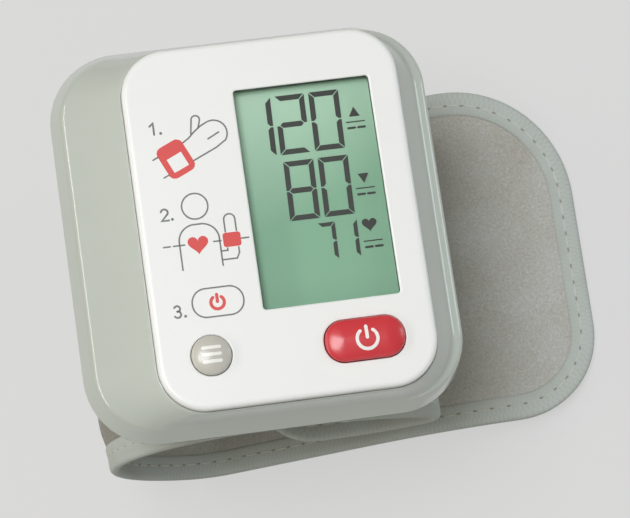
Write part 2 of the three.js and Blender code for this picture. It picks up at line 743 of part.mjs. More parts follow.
function valveCap() {
  const half = VALVE_SIDE / 2;
  const start = valveEnd + FIT;
  const end = start + VALVE_CAP;
  const body = block(VALVE_X - half, VALVE_X + half, start, end, valveTop - VALVE_SIDE, valveTop);
  const barb = rod(BARB_RADIUS, valveAt(start), valveAt(end + BARB_LENGTH));
  return body.add(barb).subtract(rod(PASSAGE_RADIUS, valveAt(start - FIT), valveAt(end + 2 * BARB_LENGTH)));
}

function valveTube() {
  const start = at(ARCH_X + MANIFOLD_WIDTH / 2 + FIT, manifoldY, pumpZ);
  const end = valveAt(valveEnd + 2 * FIT + VALVE_CAP);
  const startPull = start.clone().setX(VALVE_X);
  const endPull = end.clone().setY(manifoldY - (VALVE_X - start.x));
  return hose(new THREE.CubicBezierCurve3(start, startPull, endPull, end));
}

// Battery bay
function cell(x, positiveSide) {
  const end = positiveSide * (bayHalf - 2 * FIT - CONTACT_THICKNESS);
  const shoulder = end - positiveSide * CELL_NUB;
  const start = end - positiveSide * CELL_LENGTH;
  return rod(CELL_RADIUS, at(x, start, cellZ), at(x, shoulder, cellZ), ROUND_SIDES).add(
    rod(CELL_NUB_RADIUS, at(x, start, cellZ), at(x, end, cellZ)),
  );
}

class ConeCoil extends THREE.Curve {
  constructor(x, side) {
    super();
    this.x = x;
    this.side = side;
  }

  getPoint(t, target = at(0, 0, 0)) {
    const radius = SPRING_BASE + (SPRING_TIP - SPRING_BASE) * t;
    const angle = 2 * Math.PI * SPRING_TURNS * t;
    const foot = bayHalf - 2 * FIT - CONTACT_THICKNESS - SPRING_WIRE;
    const y = this.side * (foot - (SPRING_LENGTH - 2 * SPRING_WIRE) * t);
    return target.set(this.x + radius * Math.cos(angle), y, cellZ + radius * Math.sin(angle));
  }
}

function contactSpring(x, side) {
  const wire = new THREE.Shape(circle(SPRING_WIRE, WIRE_SIDES));
  const steps = TURN_STEPS * SPRING_TURNS;
  return solid(new THREE.ExtrudeGeometry(wire, { steps, extrudePath: new ConeCoil(x, side) }));
}

function contactPlate(fromX, toX, side) {
  const near = bayHalf - FIT - CONTACT_THICKNESS;
  const far = bayHalf - FIT;
  const [y0, y1] = side > 0 ? [near, far] : [-far, -near];
  const half = CONTACT_HEIGHT / 2;
  return block(fromX - half, toX + half, y0, y1, cellZ - half, cellZ + half);
}

// Rear housing with a concave back that follows the cuff
const rearLevels = (inset) => [
  [shrink(backFrame, BACK_ROUNDING + inset), backZ + inset],
  [shrink(backFrame, inset), backZ + BACK_ROUNDING + inset],
  [shrink(bodyFrame, inset), rearTop],
];
const rearOuter = () => loft(rearLevels(0));
const rearInner = (inset) => loft([...rearLevels(inset), [shrink(bodyFrame, inset), rearTop + WALL]]);

function saddle(gap) {
  const marks = stations(-mirrored[1].from, splitAt);
  const edge = marks.map((distance) => cuffPoint(distance, 0, -coreThickness / 2 - gap));
  const low = cuffPlace(splitAt).z - LOOP_RADIUS;
  const points = [...edge.map((p) => new THREE.Vector2(p.x, p.z)), new THREE.Vector2(edge.at(-1).x, low),
    new THREE.Vector2(edge[0].x, low)];
  return prism(points, -2 * bodyHalf, 2 * bodyHalf);
}

function bayRibs() {
  const right = bayRight + RIB;
  const low = bayFloor - RIB;
  return joined([
    block(bodyLeft, right, -bayHalf - RIB, bayHalf + RIB, low, bayFloor),
    block(bayRight, right, -bayHalf - RIB, bayHalf + RIB, backZ, rearTop),
    ...[-1, 1].map((side) => {
      const middle = side * (bayHalf + RIB / 2);
      return block(bodyLeft, right, middle - RIB / 2, middle + RIB / 2, low, rearTop);
    }),
  ]);
}

const tongueRing = (low, high, outerInset, innerInset) =>
  plate(shrink(bodyFrame, outerInset), low, high).subtract(
    plate(shrink(bodyFrame, innerInset), low - WALL, high + WALL),
  );

const doorTop = rearTop - TONGUE_HEIGHT - FIT;
const doorBottom = bayFloor - DOOR_LAP;
const doorReach = bayHalf + DOOR_LAP;
const doorBlock = (gap) =>
  block(2 * bodyLeft, outerCellX, gap - doorReach, doorReach - gap, doorBottom + gap, doorTop - gap);

const cuffScrewPlaces = [-cuffScrewY, cuffScrewY];
const layerAt = (height) => archZ - height(coreThickness / 2);

function rearHousing() {
  const outer = rearOuter().subtract(saddle(FIT));
  const inner = rearInner(WALL).subtract(saddle(FIT + WALL));
  const tongueInner = TONGUE_INSET + TONGUE_WALL;
  const bosses = postPlaces.map(([x, y]) =>
    rod(BOSS_RADIUS, at(x, y, 2 * backZ), at(x, y, rearTop), ROUND_SIDES));
  const cuffBosses = cuffScrewPlaces.map((y) =>
    rod(CUFF_BOSS_RADIUS, at(ARCH_X, y, backZ), at(ARCH_X, y, floorTop + CUFF_BOSS_HEIGHT)));
  const ribs = joined([bayRibs(), ...bosses, ...cuffBosses]).intersect(outer);
  const shell = joined([
    outer.subtract(inner),
    ribs,
    tongueRing(rearTop - TONGUE_HEIGHT, rearTop, WALL / 2, tongueInner),
    tongueRing(rearTop - TONGUE_HEIGHT, rearTop + TONGUE_HEIGHT, TONGUE_INSET, tongueInner),
  ]);
  const bores = postPlaces.flatMap(([x, y]) => [
    rod(SCREW_RADIUS + FIT, at(x, y, backZ), at(x, y, 0)),
    rod(SCREW_HEAD_RADIUS + FIT, at(x, y, 2 * backZ), at(x, y, screwSeat + FIT)),
    rod(POST_RADIUS + FIT, at(x, y, rearTop), at(x, y, 0)),
  ]);
  const cuffBores = cuffScrewPlaces.map((y) =>
    rod(CUFF_SCREW_RADIUS + FIT, at(ARCH_X, y, 2 * backZ), at(ARCH_X, y, 0)));
  const port = rod(NIPPLE_RADIUS + FIT, portAt(2 * backZ), portAt(floorTop + WALL));
  const doorway = doorBlock(0).subtract(rearInner(WALL));
  return cutBy(shell, [...bores, ...cuffBores, port, doorway]);
}

const batteryDoor = () => doorBlock(FIT).intersect(rearOuter().subtract(rearInner(WALL - FIT)));

const housingScrew = (x, y) =>
  rod(SCREW_HEAD_RADIUS, at(x, y, screwSeat - SCREW_HEAD_HEIGHT), at(x, y, screwSeat)).add(
    rod(SCREW_RADIUS, at(x, y, screwSeat - FIT), at(x, y, screwTip)),
  );

// Cuff fastening and air port at the top of the arch
function cuffScrew(y) {
  const seat = layerAt(plateHigh) - LAYER_GAP;
  const tip = floorTop + CUFF_BOSS_HEIGHT;
  return rod(CUFF_SCREW_HEAD, at(ARCH_X, y, seat - CUFF_SCREW_HEAD_HEIGHT), at(ARCH_X, y, seat)).add(
    rod(CUFF_SCREW_RADIUS, at(ARCH_X, y, seat - LAYER_GAP), at(ARCH_X, y, tip)),
  );
}

function cuffNipple() {
  const top = manifoldBottom + NIPPLE_ENTRY;
  const flange = rod(NIPPLE_FLANGE, portAt(layerAt(plateHigh)), portAt(layerAt(plateLow)));
  const stem = rod(NIPPLE_RADIUS, portAt(layerAt(plateHigh)), portAt(top));
  return flange.add(stem).subtract(rod(PASSAGE_RADIUS, portAt(2 * backZ), portAt(0)));
}

function nippleSeal() {
  const ring = new THREE.TorusGeometry(sealRadius, SEAL_WIRE, TUBE_SIDES, ROUND_SIDES);
  return solid(ring.translate(ARCH_X, manifoldY, manifoldBottom + FIT + SEAL_WIRE));
}

// Cuff layers on the unit's side of the split
const clothInset = BINDING + FIT;
const splitNear = splitAt - SPLIT_GAP / 2;
const splitFar = splitAt + SPLIT_GAP / 2;
const bladderInset = cuffHalf - cuffScrewY + CUFF_SCREW_HEAD + BLADDER_MARGIN;
const throughCuff = (radius, y) =>
  rod(radius, at(ARCH_X, y, archZ - coreThickness), at(ARCH_X, y, floorTop));

function cuffOuterCloth() {
  return cutBy(cuffLayer(tailEnd + clothInset, splitNear, clothInset, outerLow, outerHigh), [
    ...cuffScrewPlaces.map((y) => throughCuff(CUFF_SCREW_RADIUS + FIT, y)),
    throughCuff(NIPPLE_RADIUS + FIT, manifoldY),
  ]);
}

function cuffCurlPlate() {
  return cutBy(cuffLayer(coreStart + TAPER, splitNear, clothInset, plateLow, plateHigh), [
    ...cuffScrewPlaces.map((y) => throughCuff(CUFF_SCREW_RADIUS + FIT, y)),
    throughCuff(NIPPLE_FLANGE + FIT, manifoldY),
  ]);
}

const cuffBladder = () => cuffLayer(coreStart + TAPER, splitNear, bladderInset, bladderLow, bladderHigh);
const cuffInnerCloth = () => cuffLayer(tailEnd + clothInset, splitNear, clothInset, innerLow, innerHigh);
const cuffBinding = () => binding(splitNear, tailEnd, TAIL_CORNER);

// Cuff layers on the long end, with a flat where the base bend lies on the ground
const strapOuterCloth = () =>
  cuffLayer(splitFar, flapEnd - clothInset, clothInset, outerLow, outerHigh).subtract(ground());
const strapCurlPlate = () => cuffLayer(splitFar, coreEnd - TAPER, clothInset, plateLow, plateHigh);
const strapBladder = () => cuffLayer(splitFar, coreEnd - TAPER, bladderInset, bladderLow, bladderHigh);
const strapInnerCloth = () => cuffLayer(splitFar, padStart - FIT, clothInset, innerLow, innerHigh);
const strapBinding = () => binding(splitFar, flapEnd, FLAP_CORNER).subtract(ground());
const closingPad = () => cuffLayer(padStart, flapEnd - clothInset, clothInset, innerLow, innerHigh);

// Finishes as colour, roughness and metalness
const WHITE = [0xeeeeee, 0.35, 0];
const SHELL_GREY = [0xc3c6bd, 0.45, 0];
const RED = [0xd73c46, 0.3, 0];
const BUTTON_GREY = [0xbebcb4, 0.35, 0];
const CLEAR = [0xdfe8e4, 0.05, 0];
const LCD_GREEN = [0x98c2aa, 0.25, 0];
const DARK = [0x2b2d2f, 0.6, 0];
const BOARD_GREEN = [0x2f6b45, 0.5, 0];
const STEEL = [0xb9bcc0, 0.35, 1];
const BRASS = [0xc7b27a, 0.35, 1];
const CLOTH_GREY = [0xaaaaaa, 0.95, 0];
const CLOTH_DARK = [0x8c897d, 0.95, 0];
const BINDING_GREY = [0xafb9b2, 0.9, 0];
const FILM = [0xd8d4c8, 0.5, 0];

const unit = new THREE.Group();

function add(name, body, [color, roughness, metalness]) {
  const material = new THREE.MeshStandardMaterial({ color, roughness, metalness });
  const mesh = new THREE.Mesh(geometryOf(body), material);
  mesh.name = name;
  unit.add(mesh);
}

add('front_panel', frontPanel(), WHITE);
add('display_window', displayWindow(), CLEAR);
add('upper_housing', upperHousing(), SHELL_GREY);
add('rear_housing', rearHousing(), SHELL_GREY);
add('battery_door', batteryDoor(), SHELL_GREY);
postPlaces.forEach(([x, y], i) => add(`housing_screw_${i + 1}`, housingScrew(x, y), STEEL));

add('lcd_glass', lcdGlass(), LCD_GREEN);
add('lcd_holder', lcdHolder(), WHITE);
add('elastomer_strip_lower', elastomerStrip(-1), DARK);
add('elastomer_strip_upper', elastomerStrip(1), DARK);

add('power_button', button(powerFrame), RED);
add('power_switch_base', switchBase(POWER_X, powerY), DARK);
add('power_switch_plunger', switchPlunger(POWER_X, powerY), WHITE);
add('memory_button', button(memoryFrame), BUTTON_GREY);
add('memory_switch_base', switchBase(MEMORY_X, memoryY), DARK);
add('memory_switch_plunger', switchPlunger(MEMORY_X, memoryY), WHITE);

add('main_board', mainBoard(), BOARD_GREEN);
add('microcontroller', microcontroller(), DARK);
add('pressure_sensor', pressureSensor(), DARK);

add('pump_motor', pumpMotor(), STEEL);
add('pump_shaft', pumpShaft(), STEEL);
add('pump_head', pumpHead(), WHITE);
add('pump_tube', pumpTube(), CLEAR);
add('air_manifold', airManifold(), WHITE);
add('sensor_sleeve', sensorSleeve(), CLEAR);
add('valve_body', valveBody(), DARK);
add('valve_plunger', valvePlunger(), STEEL);
add('valve_cap', valveCap(), WHITE);
add('valve_tube', valveTube(), CLEAR);

add('outer_cell', cell(outerCellX, 1), DARK);
add('inner_cell', cell(innerCellX, -1), DARK);
add('outer_cell_spring', contactSpring(outerCellX, -1), STEEL);
add('inner_cell_spring', contactSpring(innerCellX, 1), STEEL);
add('bridge_contact', contactPlate(outerCellX, innerCellX, 1), BRASS);
add('negative_contact', contactPlate(outerCellX, outerCellX, -1), BRASS);
add('positive_contact', contactPlate(innerCellX, innerCellX, -1), BRASS);

cuffScrewPlaces.forEach((y, i) => add(`cuff_screw_${i + 1}`, cuffScrew(y), STEEL));
add('cuff_nipple', cuffNipple(), WHITE);
add('nipple_seal', nippleSeal(), DARK);
add('cuff_outer_cloth', cuffOuterCloth(), CLOTH_DARK);
add('cuff_curl_plate', cuffCurlPlate(), FILM);
add('cuff_bladder', cuffBladder(), FILM);
add('cuff_inner_cloth', cuffInnerCloth(), CLOTH_GREY);
add('cuff_binding', cuffBinding(), BINDING_GREY);
add('strap_outer_cloth', strapOuterCloth(), CLOTH_DARK);
add('strap_curl_plate', strapCurlPlate(), FILM);
add('strap_bladder', strapBladder(), FILM);
add('strap_inner_cloth', strapInnerCloth(), CLOTH_GREY);
add('strap_binding', strapBinding(), BINDING_GREY);
add('closing_pad', closingPad(), CLOTH_GREY);

// The unit turns until the cuff rests, and its box's bottom centre goes to the origin
unit.rotation.y = restTilt;
unit.updateMatrixWorld(true);
const box = new THREE.Box3().setFromObject(unit, true);
const middle = box.getCenter(at(0, 0, 0));
unit.position.set(-middle.x, -middle.y, -box.min.z);

const monitor = new THREE.Group();
monitor.add(unit);

export default monitor;
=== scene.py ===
"""Dresses a wrist blood pressure monitor: smooth housings, display, printed panel and a stitched cuff."""

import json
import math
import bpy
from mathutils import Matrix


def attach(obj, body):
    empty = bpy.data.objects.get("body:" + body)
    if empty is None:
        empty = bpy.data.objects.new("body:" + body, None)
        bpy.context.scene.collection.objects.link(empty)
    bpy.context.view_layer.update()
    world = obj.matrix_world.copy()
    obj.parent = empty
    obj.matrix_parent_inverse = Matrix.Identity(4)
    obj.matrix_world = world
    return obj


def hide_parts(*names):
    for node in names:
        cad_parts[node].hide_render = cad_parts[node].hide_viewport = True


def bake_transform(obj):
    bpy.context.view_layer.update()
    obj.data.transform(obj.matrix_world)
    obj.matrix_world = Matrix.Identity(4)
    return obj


bl_info = {
    "name": "Wrist blood pressure monitor",
    "version": (1, 0, 0),
    "blender": (4, 5, 0),
    "location": "3D View > Sidebar > Monitor",
    "description": "Builds the visible pieces of a wrist blood pressure monitor round its solid model",
    "category": "Object",
}

import bmesh
import bpy
from bpy.props import FloatProperty, FloatVectorProperty, IntProperty, PointerProperty
from mathutils import Matrix, Vector, noise
from mathutils.bvhtree import BVHTree
from mathutils.geometry import tessellate_polygon

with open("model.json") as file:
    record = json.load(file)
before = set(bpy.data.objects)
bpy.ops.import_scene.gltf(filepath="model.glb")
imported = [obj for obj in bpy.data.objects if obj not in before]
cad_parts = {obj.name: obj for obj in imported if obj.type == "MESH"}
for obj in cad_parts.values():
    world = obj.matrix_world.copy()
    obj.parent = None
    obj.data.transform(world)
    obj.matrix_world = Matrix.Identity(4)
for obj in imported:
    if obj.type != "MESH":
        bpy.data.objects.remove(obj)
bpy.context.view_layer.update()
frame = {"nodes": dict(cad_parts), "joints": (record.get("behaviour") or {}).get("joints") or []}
MM = 0.001


def unit_frame():
    """The display's own frame in millimetres, from the panel's middle: x right, y up the display, z out."""
    press = next(joint for joint in frame["joints"] if joint["name"] == "power_press")
    out = -Vector(press["axis"]).normalized()
    up = Vector((0, 1, 0))
    right = up.cross(out)
    points = [vertex.co for vertex in frame["nodes"]["front_panel"].data.vertices]
    across = [point.dot(right) for point in points]
    along = [point.dot(up) for point in points]
    centre = (
        right * (min(across) + max(across)) / 2
        + up * (min(along) + max(along)) / 2
        + out * max(point.dot(out) for point in points)
    )
    columns = [right * MM, up * MM, out * MM, centre]
    rows = [[column[row] for column in columns] for row in range(3)]
    return Matrix([*rows, [0, 0, 0, 1]])


UNIT = unit_frame()


# Outlines in the display's frame: a frame is (left, right, bottom, top, corner radius)
PANEL = (-25.1, 25.1, -33.1, 33.1, 8.5)
BODY = (-38.1, 31.1, -36.4, 36.4, 13.0)
SIGHT = (-5.05, 19.65, -16.5, 24.0, 0.6)
POWER = (4.9, 19.3, -27.7, -20.2, 3.5)
MEMORY = (-18.95, -11.75, -27.05, -19.85, 3.6)
PANEL_BACK = -1.6
DECK_TOP = -1.9
DECK_BACK = -3.9
GLASS_TOP = -4.2
FRONT_GLASS = -3.0
RIM = -12.0
CORNER_STEPS = 14
LEAST_CORNER = 0.15


def inset(outline, by):
    x0, x1, y0, y1, corner = outline
    return (x0 + by, x1 - by, y0 + by, y1 - by, max(corner - by, LEAST_CORNER))


def between(first, second, share):
    return tuple(a + (b - a) * share for a, b in zip(first, second))


def ring(outline, z):
    """The points of a frame with round corners at one height, counter-clockwise."""
    x0, x1, y0, y1, corner = outline
    centres = [(x1 - corner, y1 - corner), (x0 + corner, y1 - corner),
               (x0 + corner, y0 + corner), (x1 - corner, y0 + corner)]
    points = []
    for quarter, (x, y) in enumerate(centres):
        for step in range(CORNER_STEPS + 1):
            angle = math.pi / 2 * (quarter + step / CORNER_STEPS)
            points.append(Vector((x + corner * math.cos(angle), y + corner * math.sin(angle), z)))
    return points


class Skin:
    """A surface made from rings of points."""

    def __init__(self):
        self.bm = bmesh.new()

    def ring(self, points):
        return [self.bm.verts.new(point) for point in points]

    def bridge(self, rings):
        made = [self.ring(points) for points in rings]
        for first, second in zip(made, made[1:]):
            count = len(first)
            for i in range(count):
                j = (i + 1) % count
                self.bm.faces.new((first[i], first[j], second[j], second[i]))
        return made

    def cap(self, *loops):
        """A flat face between one outer loop and any holes in it."""
        if len(loops) == 1:
            self.bm.faces.new(loops[0])
            return
        corners = [corner for loop in loops for corner in loop]
        for triangle in tessellate_polygon([[corner.co for corner in loop] for loop in loops]):
            self.bm.faces.new([corners[i] for i in triangle])

    def stack(self, rings):
        """A closed body from its first ring to its last."""
        made = self.bridge(rings)
        self.cap(made[0])
        self.cap(made[-1])


def link(name, mesh):
    made = bpy.data.objects.new(name, mesh)
    bpy.context.scene.collection.objects.link(made)
    return made


def piece(name, bm, materials, sharp=32, place=UNIT):
    """An object from a mesh in millimetres, with edges sharper than an angle left hard."""
    bmesh.ops.recalc_face_normals(bm, faces=bm.faces)
    for face in bm.faces:
        face.smooth = True
    for edge in bm.edges:
        edge.smooth = len(edge.link_faces) == 2 and edge.calc_face_angle() < math.radians(sharp)
    mesh = bpy.data.meshes.new(name)
    bm.to_mesh(mesh)
    bm.free()
    mesh.transform(place)
    for material in materials:
        mesh.materials.append(material)
    return link(name, mesh)


def settle(made, body, slot, *nodes):
    """A finished piece rides on a body and stands for the solids that it covers; the slot is not used."""
    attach(made, body)
    if nodes:
        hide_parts(*nodes)
    return made


# Shader nodes
def add_node(tree, kind, inputs=None, **values):
    node = tree.nodes.new(kind)
    for key, value in values.items():
        setattr(node, key, value)
    for key, value in (inputs or {}).items():
        if isinstance(value, bpy.types.NodeSocket):
            tree.links.new(value, node.inputs[key])
        else:
            node.inputs[key].default_value = value
    return node


def maths(tree, operation, first, second=0.0):
    return add_node(tree, "ShaderNodeMath", {0: first, 1: second}, operation=operation).outputs[0]


def blended(tree, share, first, second):
    return add_node(tree, "ShaderNodeMix", {0: share, 6: first, 7: second}, data_type="RGBA").outputs[2]


def spots(tree, where, per_metre, detail=2.0, roughness=0.5, distortion=0.0):
    values = {"Vector": where, "Scale": per_metre, "Detail": detail, "Roughness": roughness,
              "Distortion": distortion}
    return add_node(tree, "ShaderNodeTexNoise", values).outputs["Fac"]


def spread(tree, value, low, high, to_low, to_high):
    values = {"Value": value, "From Min": low, "From Max": high, "To Min": to_low, "To Max": to_high}
    return add_node(tree, "ShaderNodeMapRange", values).outputs["Result"]


def new_group(name, inputs, outputs):
    tree = bpy.data.node_groups.new(name, "ShaderNodeTree")
    for socket, kind, default in inputs:
        made = tree.interface.new_socket(socket, in_out="INPUT", socket_type=kind)
        made.default_value = default
    for socket, kind in outputs:
        tree.interface.new_socket(socket, in_out="OUTPUT", socket_type=kind)
    return tree, add_node(tree, "NodeGroupInput").outputs, add_node(tree, "NodeGroupOutput").inputs


COLOUR, FLOAT = "NodeSocketColor", "NodeSocketFloat"


def moulded_skin():
    """Moulded plastic: a slow drift of tone, uneven gloss and the fine grain of the tool."""
    tree, given, out = new_group(
        "moulded_skin",
        [("Colour", COLOUR, (0.8, 0.8, 0.8, 1)), ("Deep colour", COLOUR, (0.7, 0.7, 0.7, 1)),
         ("Gloss low", FLOAT, 0.3), ("Gloss high", FLOAT, 0.4), ("Grain per metre", FLOAT, 3000)],
        [("Colour", COLOUR), ("Roughness", FLOAT), ("Height", FLOAT)],
    )
    where = add_node(tree, "ShaderNodeTexCoord").outputs["Object"]
    drift = spread(tree, spots(tree, where, 45, 3), 0.3, 0.7, 0, 1)
    tree.links.new(blended(tree, drift, given["Colour"], given["Deep colour"]), out["Colour"])
    haze = spots(tree, where, 260, 4)
    tree.links.new(spread(tree, haze, 0.25, 0.75, given["Gloss low"], given["Gloss high"]), out["Roughness"])
    tree.links.new(spots(tree, where, given["Grain per metre"], 3), out["Height"])
    return tree


def woven_cloth():
    """Over and under threads that follow the cloth's own map, with uneven dyeing and painted shade between
    the threads.
    """
    tree, given, out = new_group(
        "woven_cloth",
        [("Colour", COLOUR, (0.4, 0.4, 0.4, 1)), ("Shade", COLOUR, (0.3, 0.3, 0.3, 1)),
         ("Threads per metre", FLOAT, 1600), ("Rib", FLOAT, 1)],
        [("Colour", COLOUR), ("Height", FLOAT)],
    )
    cloth = add_node(tree, "ShaderNodeUVMap", uv_map="cloth").outputs["UV"]
    parts = add_node(tree, "ShaderNodeSeparateXYZ", {0: cloth}).outputs
    warp = maths(tree, "MULTIPLY", maths(tree, "MULTIPLY", parts["X"], given["Threads per metre"]), math.pi)
    ribs = maths(tree, "MULTIPLY", given["Threads per metre"], given["Rib"])
    weft = maths(tree, "MULTIPLY", maths(tree, "MULTIPLY", parts["Y"], ribs), math.pi)
    over = maths(tree, "ABSOLUTE", maths(tree, "SINE", warp))
    under = maths(tree, "ABSOLUTE", maths(tree, "SINE", weft))
    turn = maths(tree, "GREATER_THAN", maths(tree, "MULTIPLY", maths(tree, "COSINE", warp),
                                             maths(tree, "COSINE", weft)), 0.0)
    height = add_node(tree, "ShaderNodeMix", {0: turn, 2: over, 3: under}, data_type="FLOAT").outputs[0]
    fibre = spots(tree, cloth, 2600, 3)
    height = maths(tree, "ADD", maths(tree, "MULTIPLY", height, 0.7), maths(tree, "MULTIPLY", fibre, 0.5))
    where = add_node(tree, "ShaderNodeTexCoord").outputs["Object"]
    # Uneven dye from the noise, and painted shade where the weave lies low between the threads
    dye_and_thread_shade = maths(tree, "ADD", maths(tree, "MULTIPLY", spots(tree, where, 160, 4), 0.5),
                maths(tree, "MULTIPLY", height, 0.5))
    share = spread(tree, dye_and_thread_shade, 0.3, 0.75, 1, 0)
    tree.links.new(blended(tree, share, given["Colour"], given["Shade"]), out["Colour"])
    tree.links.new(height, out["Height"])
    return tree


def brushed_felt():
    """Loop cloth brushed into a mottled felt of short fibres."""
    tree, given, out = new_group(
        "brushed_felt",
        [("Colour", COLOUR, (0.45, 0.45, 0.45, 1)), ("Shade", COLOUR, (0.3, 0.3, 0.3, 1)),
         ("Tufts per metre", FLOAT, 2300), ("Fibres per metre", FLOAT, 6500)],
        [("Colour", COLOUR), ("Height", FLOAT)],
    )
    where = add_node(tree, "ShaderNodeTexCoord").outputs["Object"]
    tufts = spots(tree, where, given["Tufts per metre"], 5, 0.62, 0.6)
    fibres = spots(tree, where, given["Fibres per metre"], 4, 0.65, 2.5)
    worn = spots(tree, where, 70, 3)
    mottle = maths(tree, "ADD", maths(tree, "MULTIPLY", tufts, 0.4), maths(tree, "MULTIPLY", fibres, 0.4))
    mottle = maths(tree, "ADD", mottle, maths(tree, "MULTIPLY", worn, 0.2))
    share = spread(tree, mottle, 0.38, 0.62, 1, 0)
    tree.links.new(blended(tree, share, given["Colour"], given["Shade"]), out["Colour"])
    rise = maths(tree, "ADD", maths(tree, "MULTIPLY", tufts, 0.7), maths(tree, "MULTIPLY", fibres, 0.5))
    tree.links.new(rise, out["Height"])
    return tree


def drawn_metal():
    """Bright metal with fine draw marks and a few duller patches."""
    tree, given, out = new_group(
        "drawn_metal",
        [("Colour", COLOUR, (0.6, 0.6, 0.6, 1)), ("Dull", COLOUR, (0.5, 0.5, 0.5, 1)),
         ("Gloss low", FLOAT, 0.25), ("Gloss high", FLOAT, 0.45)],
        [("Colour", COLOUR), ("Roughness", FLOAT), ("Height", FLOAT)],
    )
    where = add_node(tree, "ShaderNodeTexCoord").outputs["Object"]
    drawn = add_node(tree, "ShaderNodeMapping", {"Vector": where, "Scale": (1, 0.06, 1)}).outputs[0]
    marks = spots(tree, drawn, 5200, 3)
    patches = spread(tree, spots(tree, where, 190, 4), 0.35, 0.65, 0, 1)
    tree.links.new(blended(tree, patches, given["Colour"], given["Dull"]), out["Colour"])
    tree.links.new(spread(tree, marks, 0.3, 0.7, given["Gloss low"], given["Gloss high"]), out["Roughness"])
    tree.links.new(marks, out["Height"])
    return tree


GROUPS = {"moulded": moulded_skin, "woven": woven_cloth, "felt": brushed_felt, "metal": drawn_metal}


def linear(colour):
    """A colour seen on screen, in 0 to 255, as the light that makes it."""
    shares = [value / 255 for value in colour]
    return (*[s / 12.92 if s <= 0.04045 else ((s + 0.055) / 1.055) ** 2.4 for s in shares], 1)


def darker(colour, share):
    return (*[value * share for value in colour[:3]], 1)


def surface(name, group, values, bump, depth, **constants):
    """A material whose colour, gloss and relief come from one of the shared groups."""
    name += "_finish"
    found = bpy.data.materials.get(name)
    if found:
        return found
    material = bpy.data.materials.new(name)
    material.use_nodes = True
    tree = material.node_tree
    shader = tree.nodes["Principled BSDF"]
    made = bpy.data.node_groups.get(GROUPS[group].__name__) or GROUPS[group]()
    detail = add_node(tree, "ShaderNodeGroup", node_tree=made)
    for key, value in values.items():
        detail.inputs[key].default_value = value
    tree.links.new(detail.outputs["Colour"], shader.inputs["Base Color"])
    if "Roughness" in detail.outputs:
        tree.links.new(detail.outputs["Roughness"], shader.inputs["Roughness"])
    relief = add_node(tree, "ShaderNodeBump", {"Strength": bump, "Distance": depth,
                                               "Height": detail.outputs["Height"]})
    tree.links.new(relief.outputs["Normal"], shader.inputs["Normal"])
    for key, value in constants.items():
        shader.inputs[key.replace("_", " ")].default_value = value
    return material


# Depth of the relief in metres: grain of plastic, draw marks of metal, felt, cloth and tape
GRAIN_DEPTH, MARK_DEPTH = 0.00004, 0.00003
FELT_DEPTH, CLOTH_DEPTH, TAPE_DEPTH = 0.00022, 0.0002, 0.0001


def plastic(name, colour, gloss, grain=3000, bump=0.12, tone=0.95, **constants):
    values = {"Colour": colour, "Deep colour": darker(colour, tone), "Gloss low": gloss - 0.05,
              "Gloss high": gloss + 0.06, "Grain per metre": grain}
    return surface(name, "moulded", values, bump, GRAIN_DEPTH, **constants)


def metal(name, colour, gloss):
    values = {"Colour": colour, "Dull": darker(colour, 0.82), "Gloss low": gloss - 0.08,
              "Gloss high": gloss + 0.1}
    return surface(name, "metal", values, 0.08, MARK_DEPTH, Metallic=1.0)


def colour_setting(name, description, shown):
    return FloatVectorProperty(name=name, description=description, subtype="COLOR", size=4, min=0, max=1,
                               default=linear(shown))


def length_setting(name, description, millimetres):
    return FloatProperty(name=name, description=description, default=millimetres * MM, min=0,
                         subtype="DISTANCE", unit="LENGTH", precision=5)


def share_setting(name, description, share):
    return FloatProperty(name=name, description=description, default=share, min=0, max=1, subtype="FACTOR")


def power_setting(name, description, watts):
    return FloatProperty(name=name, description=description, default=watts, min=0, unit="POWER")


class HousingSettings(bpy.types.PropertyGroup):
    """Sizes and colours of the panel and the housings."""

    panel_colour: colour_setting("Panel colour", "Colour of the front panel", (241, 241, 241))
    # The opening's walls are coloured dark as painted shade in the recess
    opening_colour: colour_setting("Opening colour", "Colour of the display opening's edge", (46, 54, 49))
    shell_colour: colour_setting("Shell colour", "Colour of the housings and the door", (189, 195, 188))
    panel_edge: length_setting("Panel edge", "Width of the panel's rounded edge", 0.95)
    panel_gap: length_setting("Panel gap", "Gap between the panel and the housing round it", 0.09)
    shoulder_inset: length_setting("Shoulder inset", "How far the shoulder lies in from the rim", 1.8)
    shoulder_depth: length_setting("Shoulder depth", "Depth of the shoulder below the panel's face", 7.4)
    flange_width: length_setting("Flange width", "Width of the flat flange along the right rim", 2.15)
    flange_fall: length_setting("Flange fall", "How far that flange falls towards the rim", 0.2)
    rib_length: length_setting("Rib length", "Length of a grip rib on the battery door", 5.6)
    rib_pitch: length_setting("Rib pitch", "Distance from grip rib to grip rib", 2)
    left_hollow: share_setting("Left hollow", "How near the panel the left wall's hollow lies", 0.33)
    wall_hollow: share_setting("Wall hollow", "How near the panel the other walls' hollows lie", 0.74)
    wall_rise: share_setting("Wall rise", "How high the walls' hollows lie", 0.25)


class DisplaySettings(bpy.types.PropertyGroup):
    """Sizes and colours of the display."""

    # The display's green with painted light near its upper corner and painted shade in its lower part
    cell_colour: colour_setting("Cell colour", "Colour of the display near its upper corner", (200, 238, 212))
    cell_shade: colour_setting("Cell shade", "Colour of the display's lower part", (143, 194, 163))
    segment_colour: colour_setting("Segment colour", "Colour of the figures", (52, 54, 51))
    stroke: length_setting("Stroke", "Width of a large figure's segments", 0.97)


class ButtonSettings(bpy.types.PropertyGroup):
    """Sizes and colours of the buttons."""

    power_colour: colour_setting("Power colour", "Colour of the power button", (214, 52, 62))
    memory_colour: colour_setting("Memory colour", "Colour of the memory button", (200, 197, 189))
    symbol_colour: colour_setting("Symbol colour", "Colour of the symbols on the buttons", (247, 245, 243))
    dome: length_setting("Dome", "Height of a button's crown above the panel", 1.5)


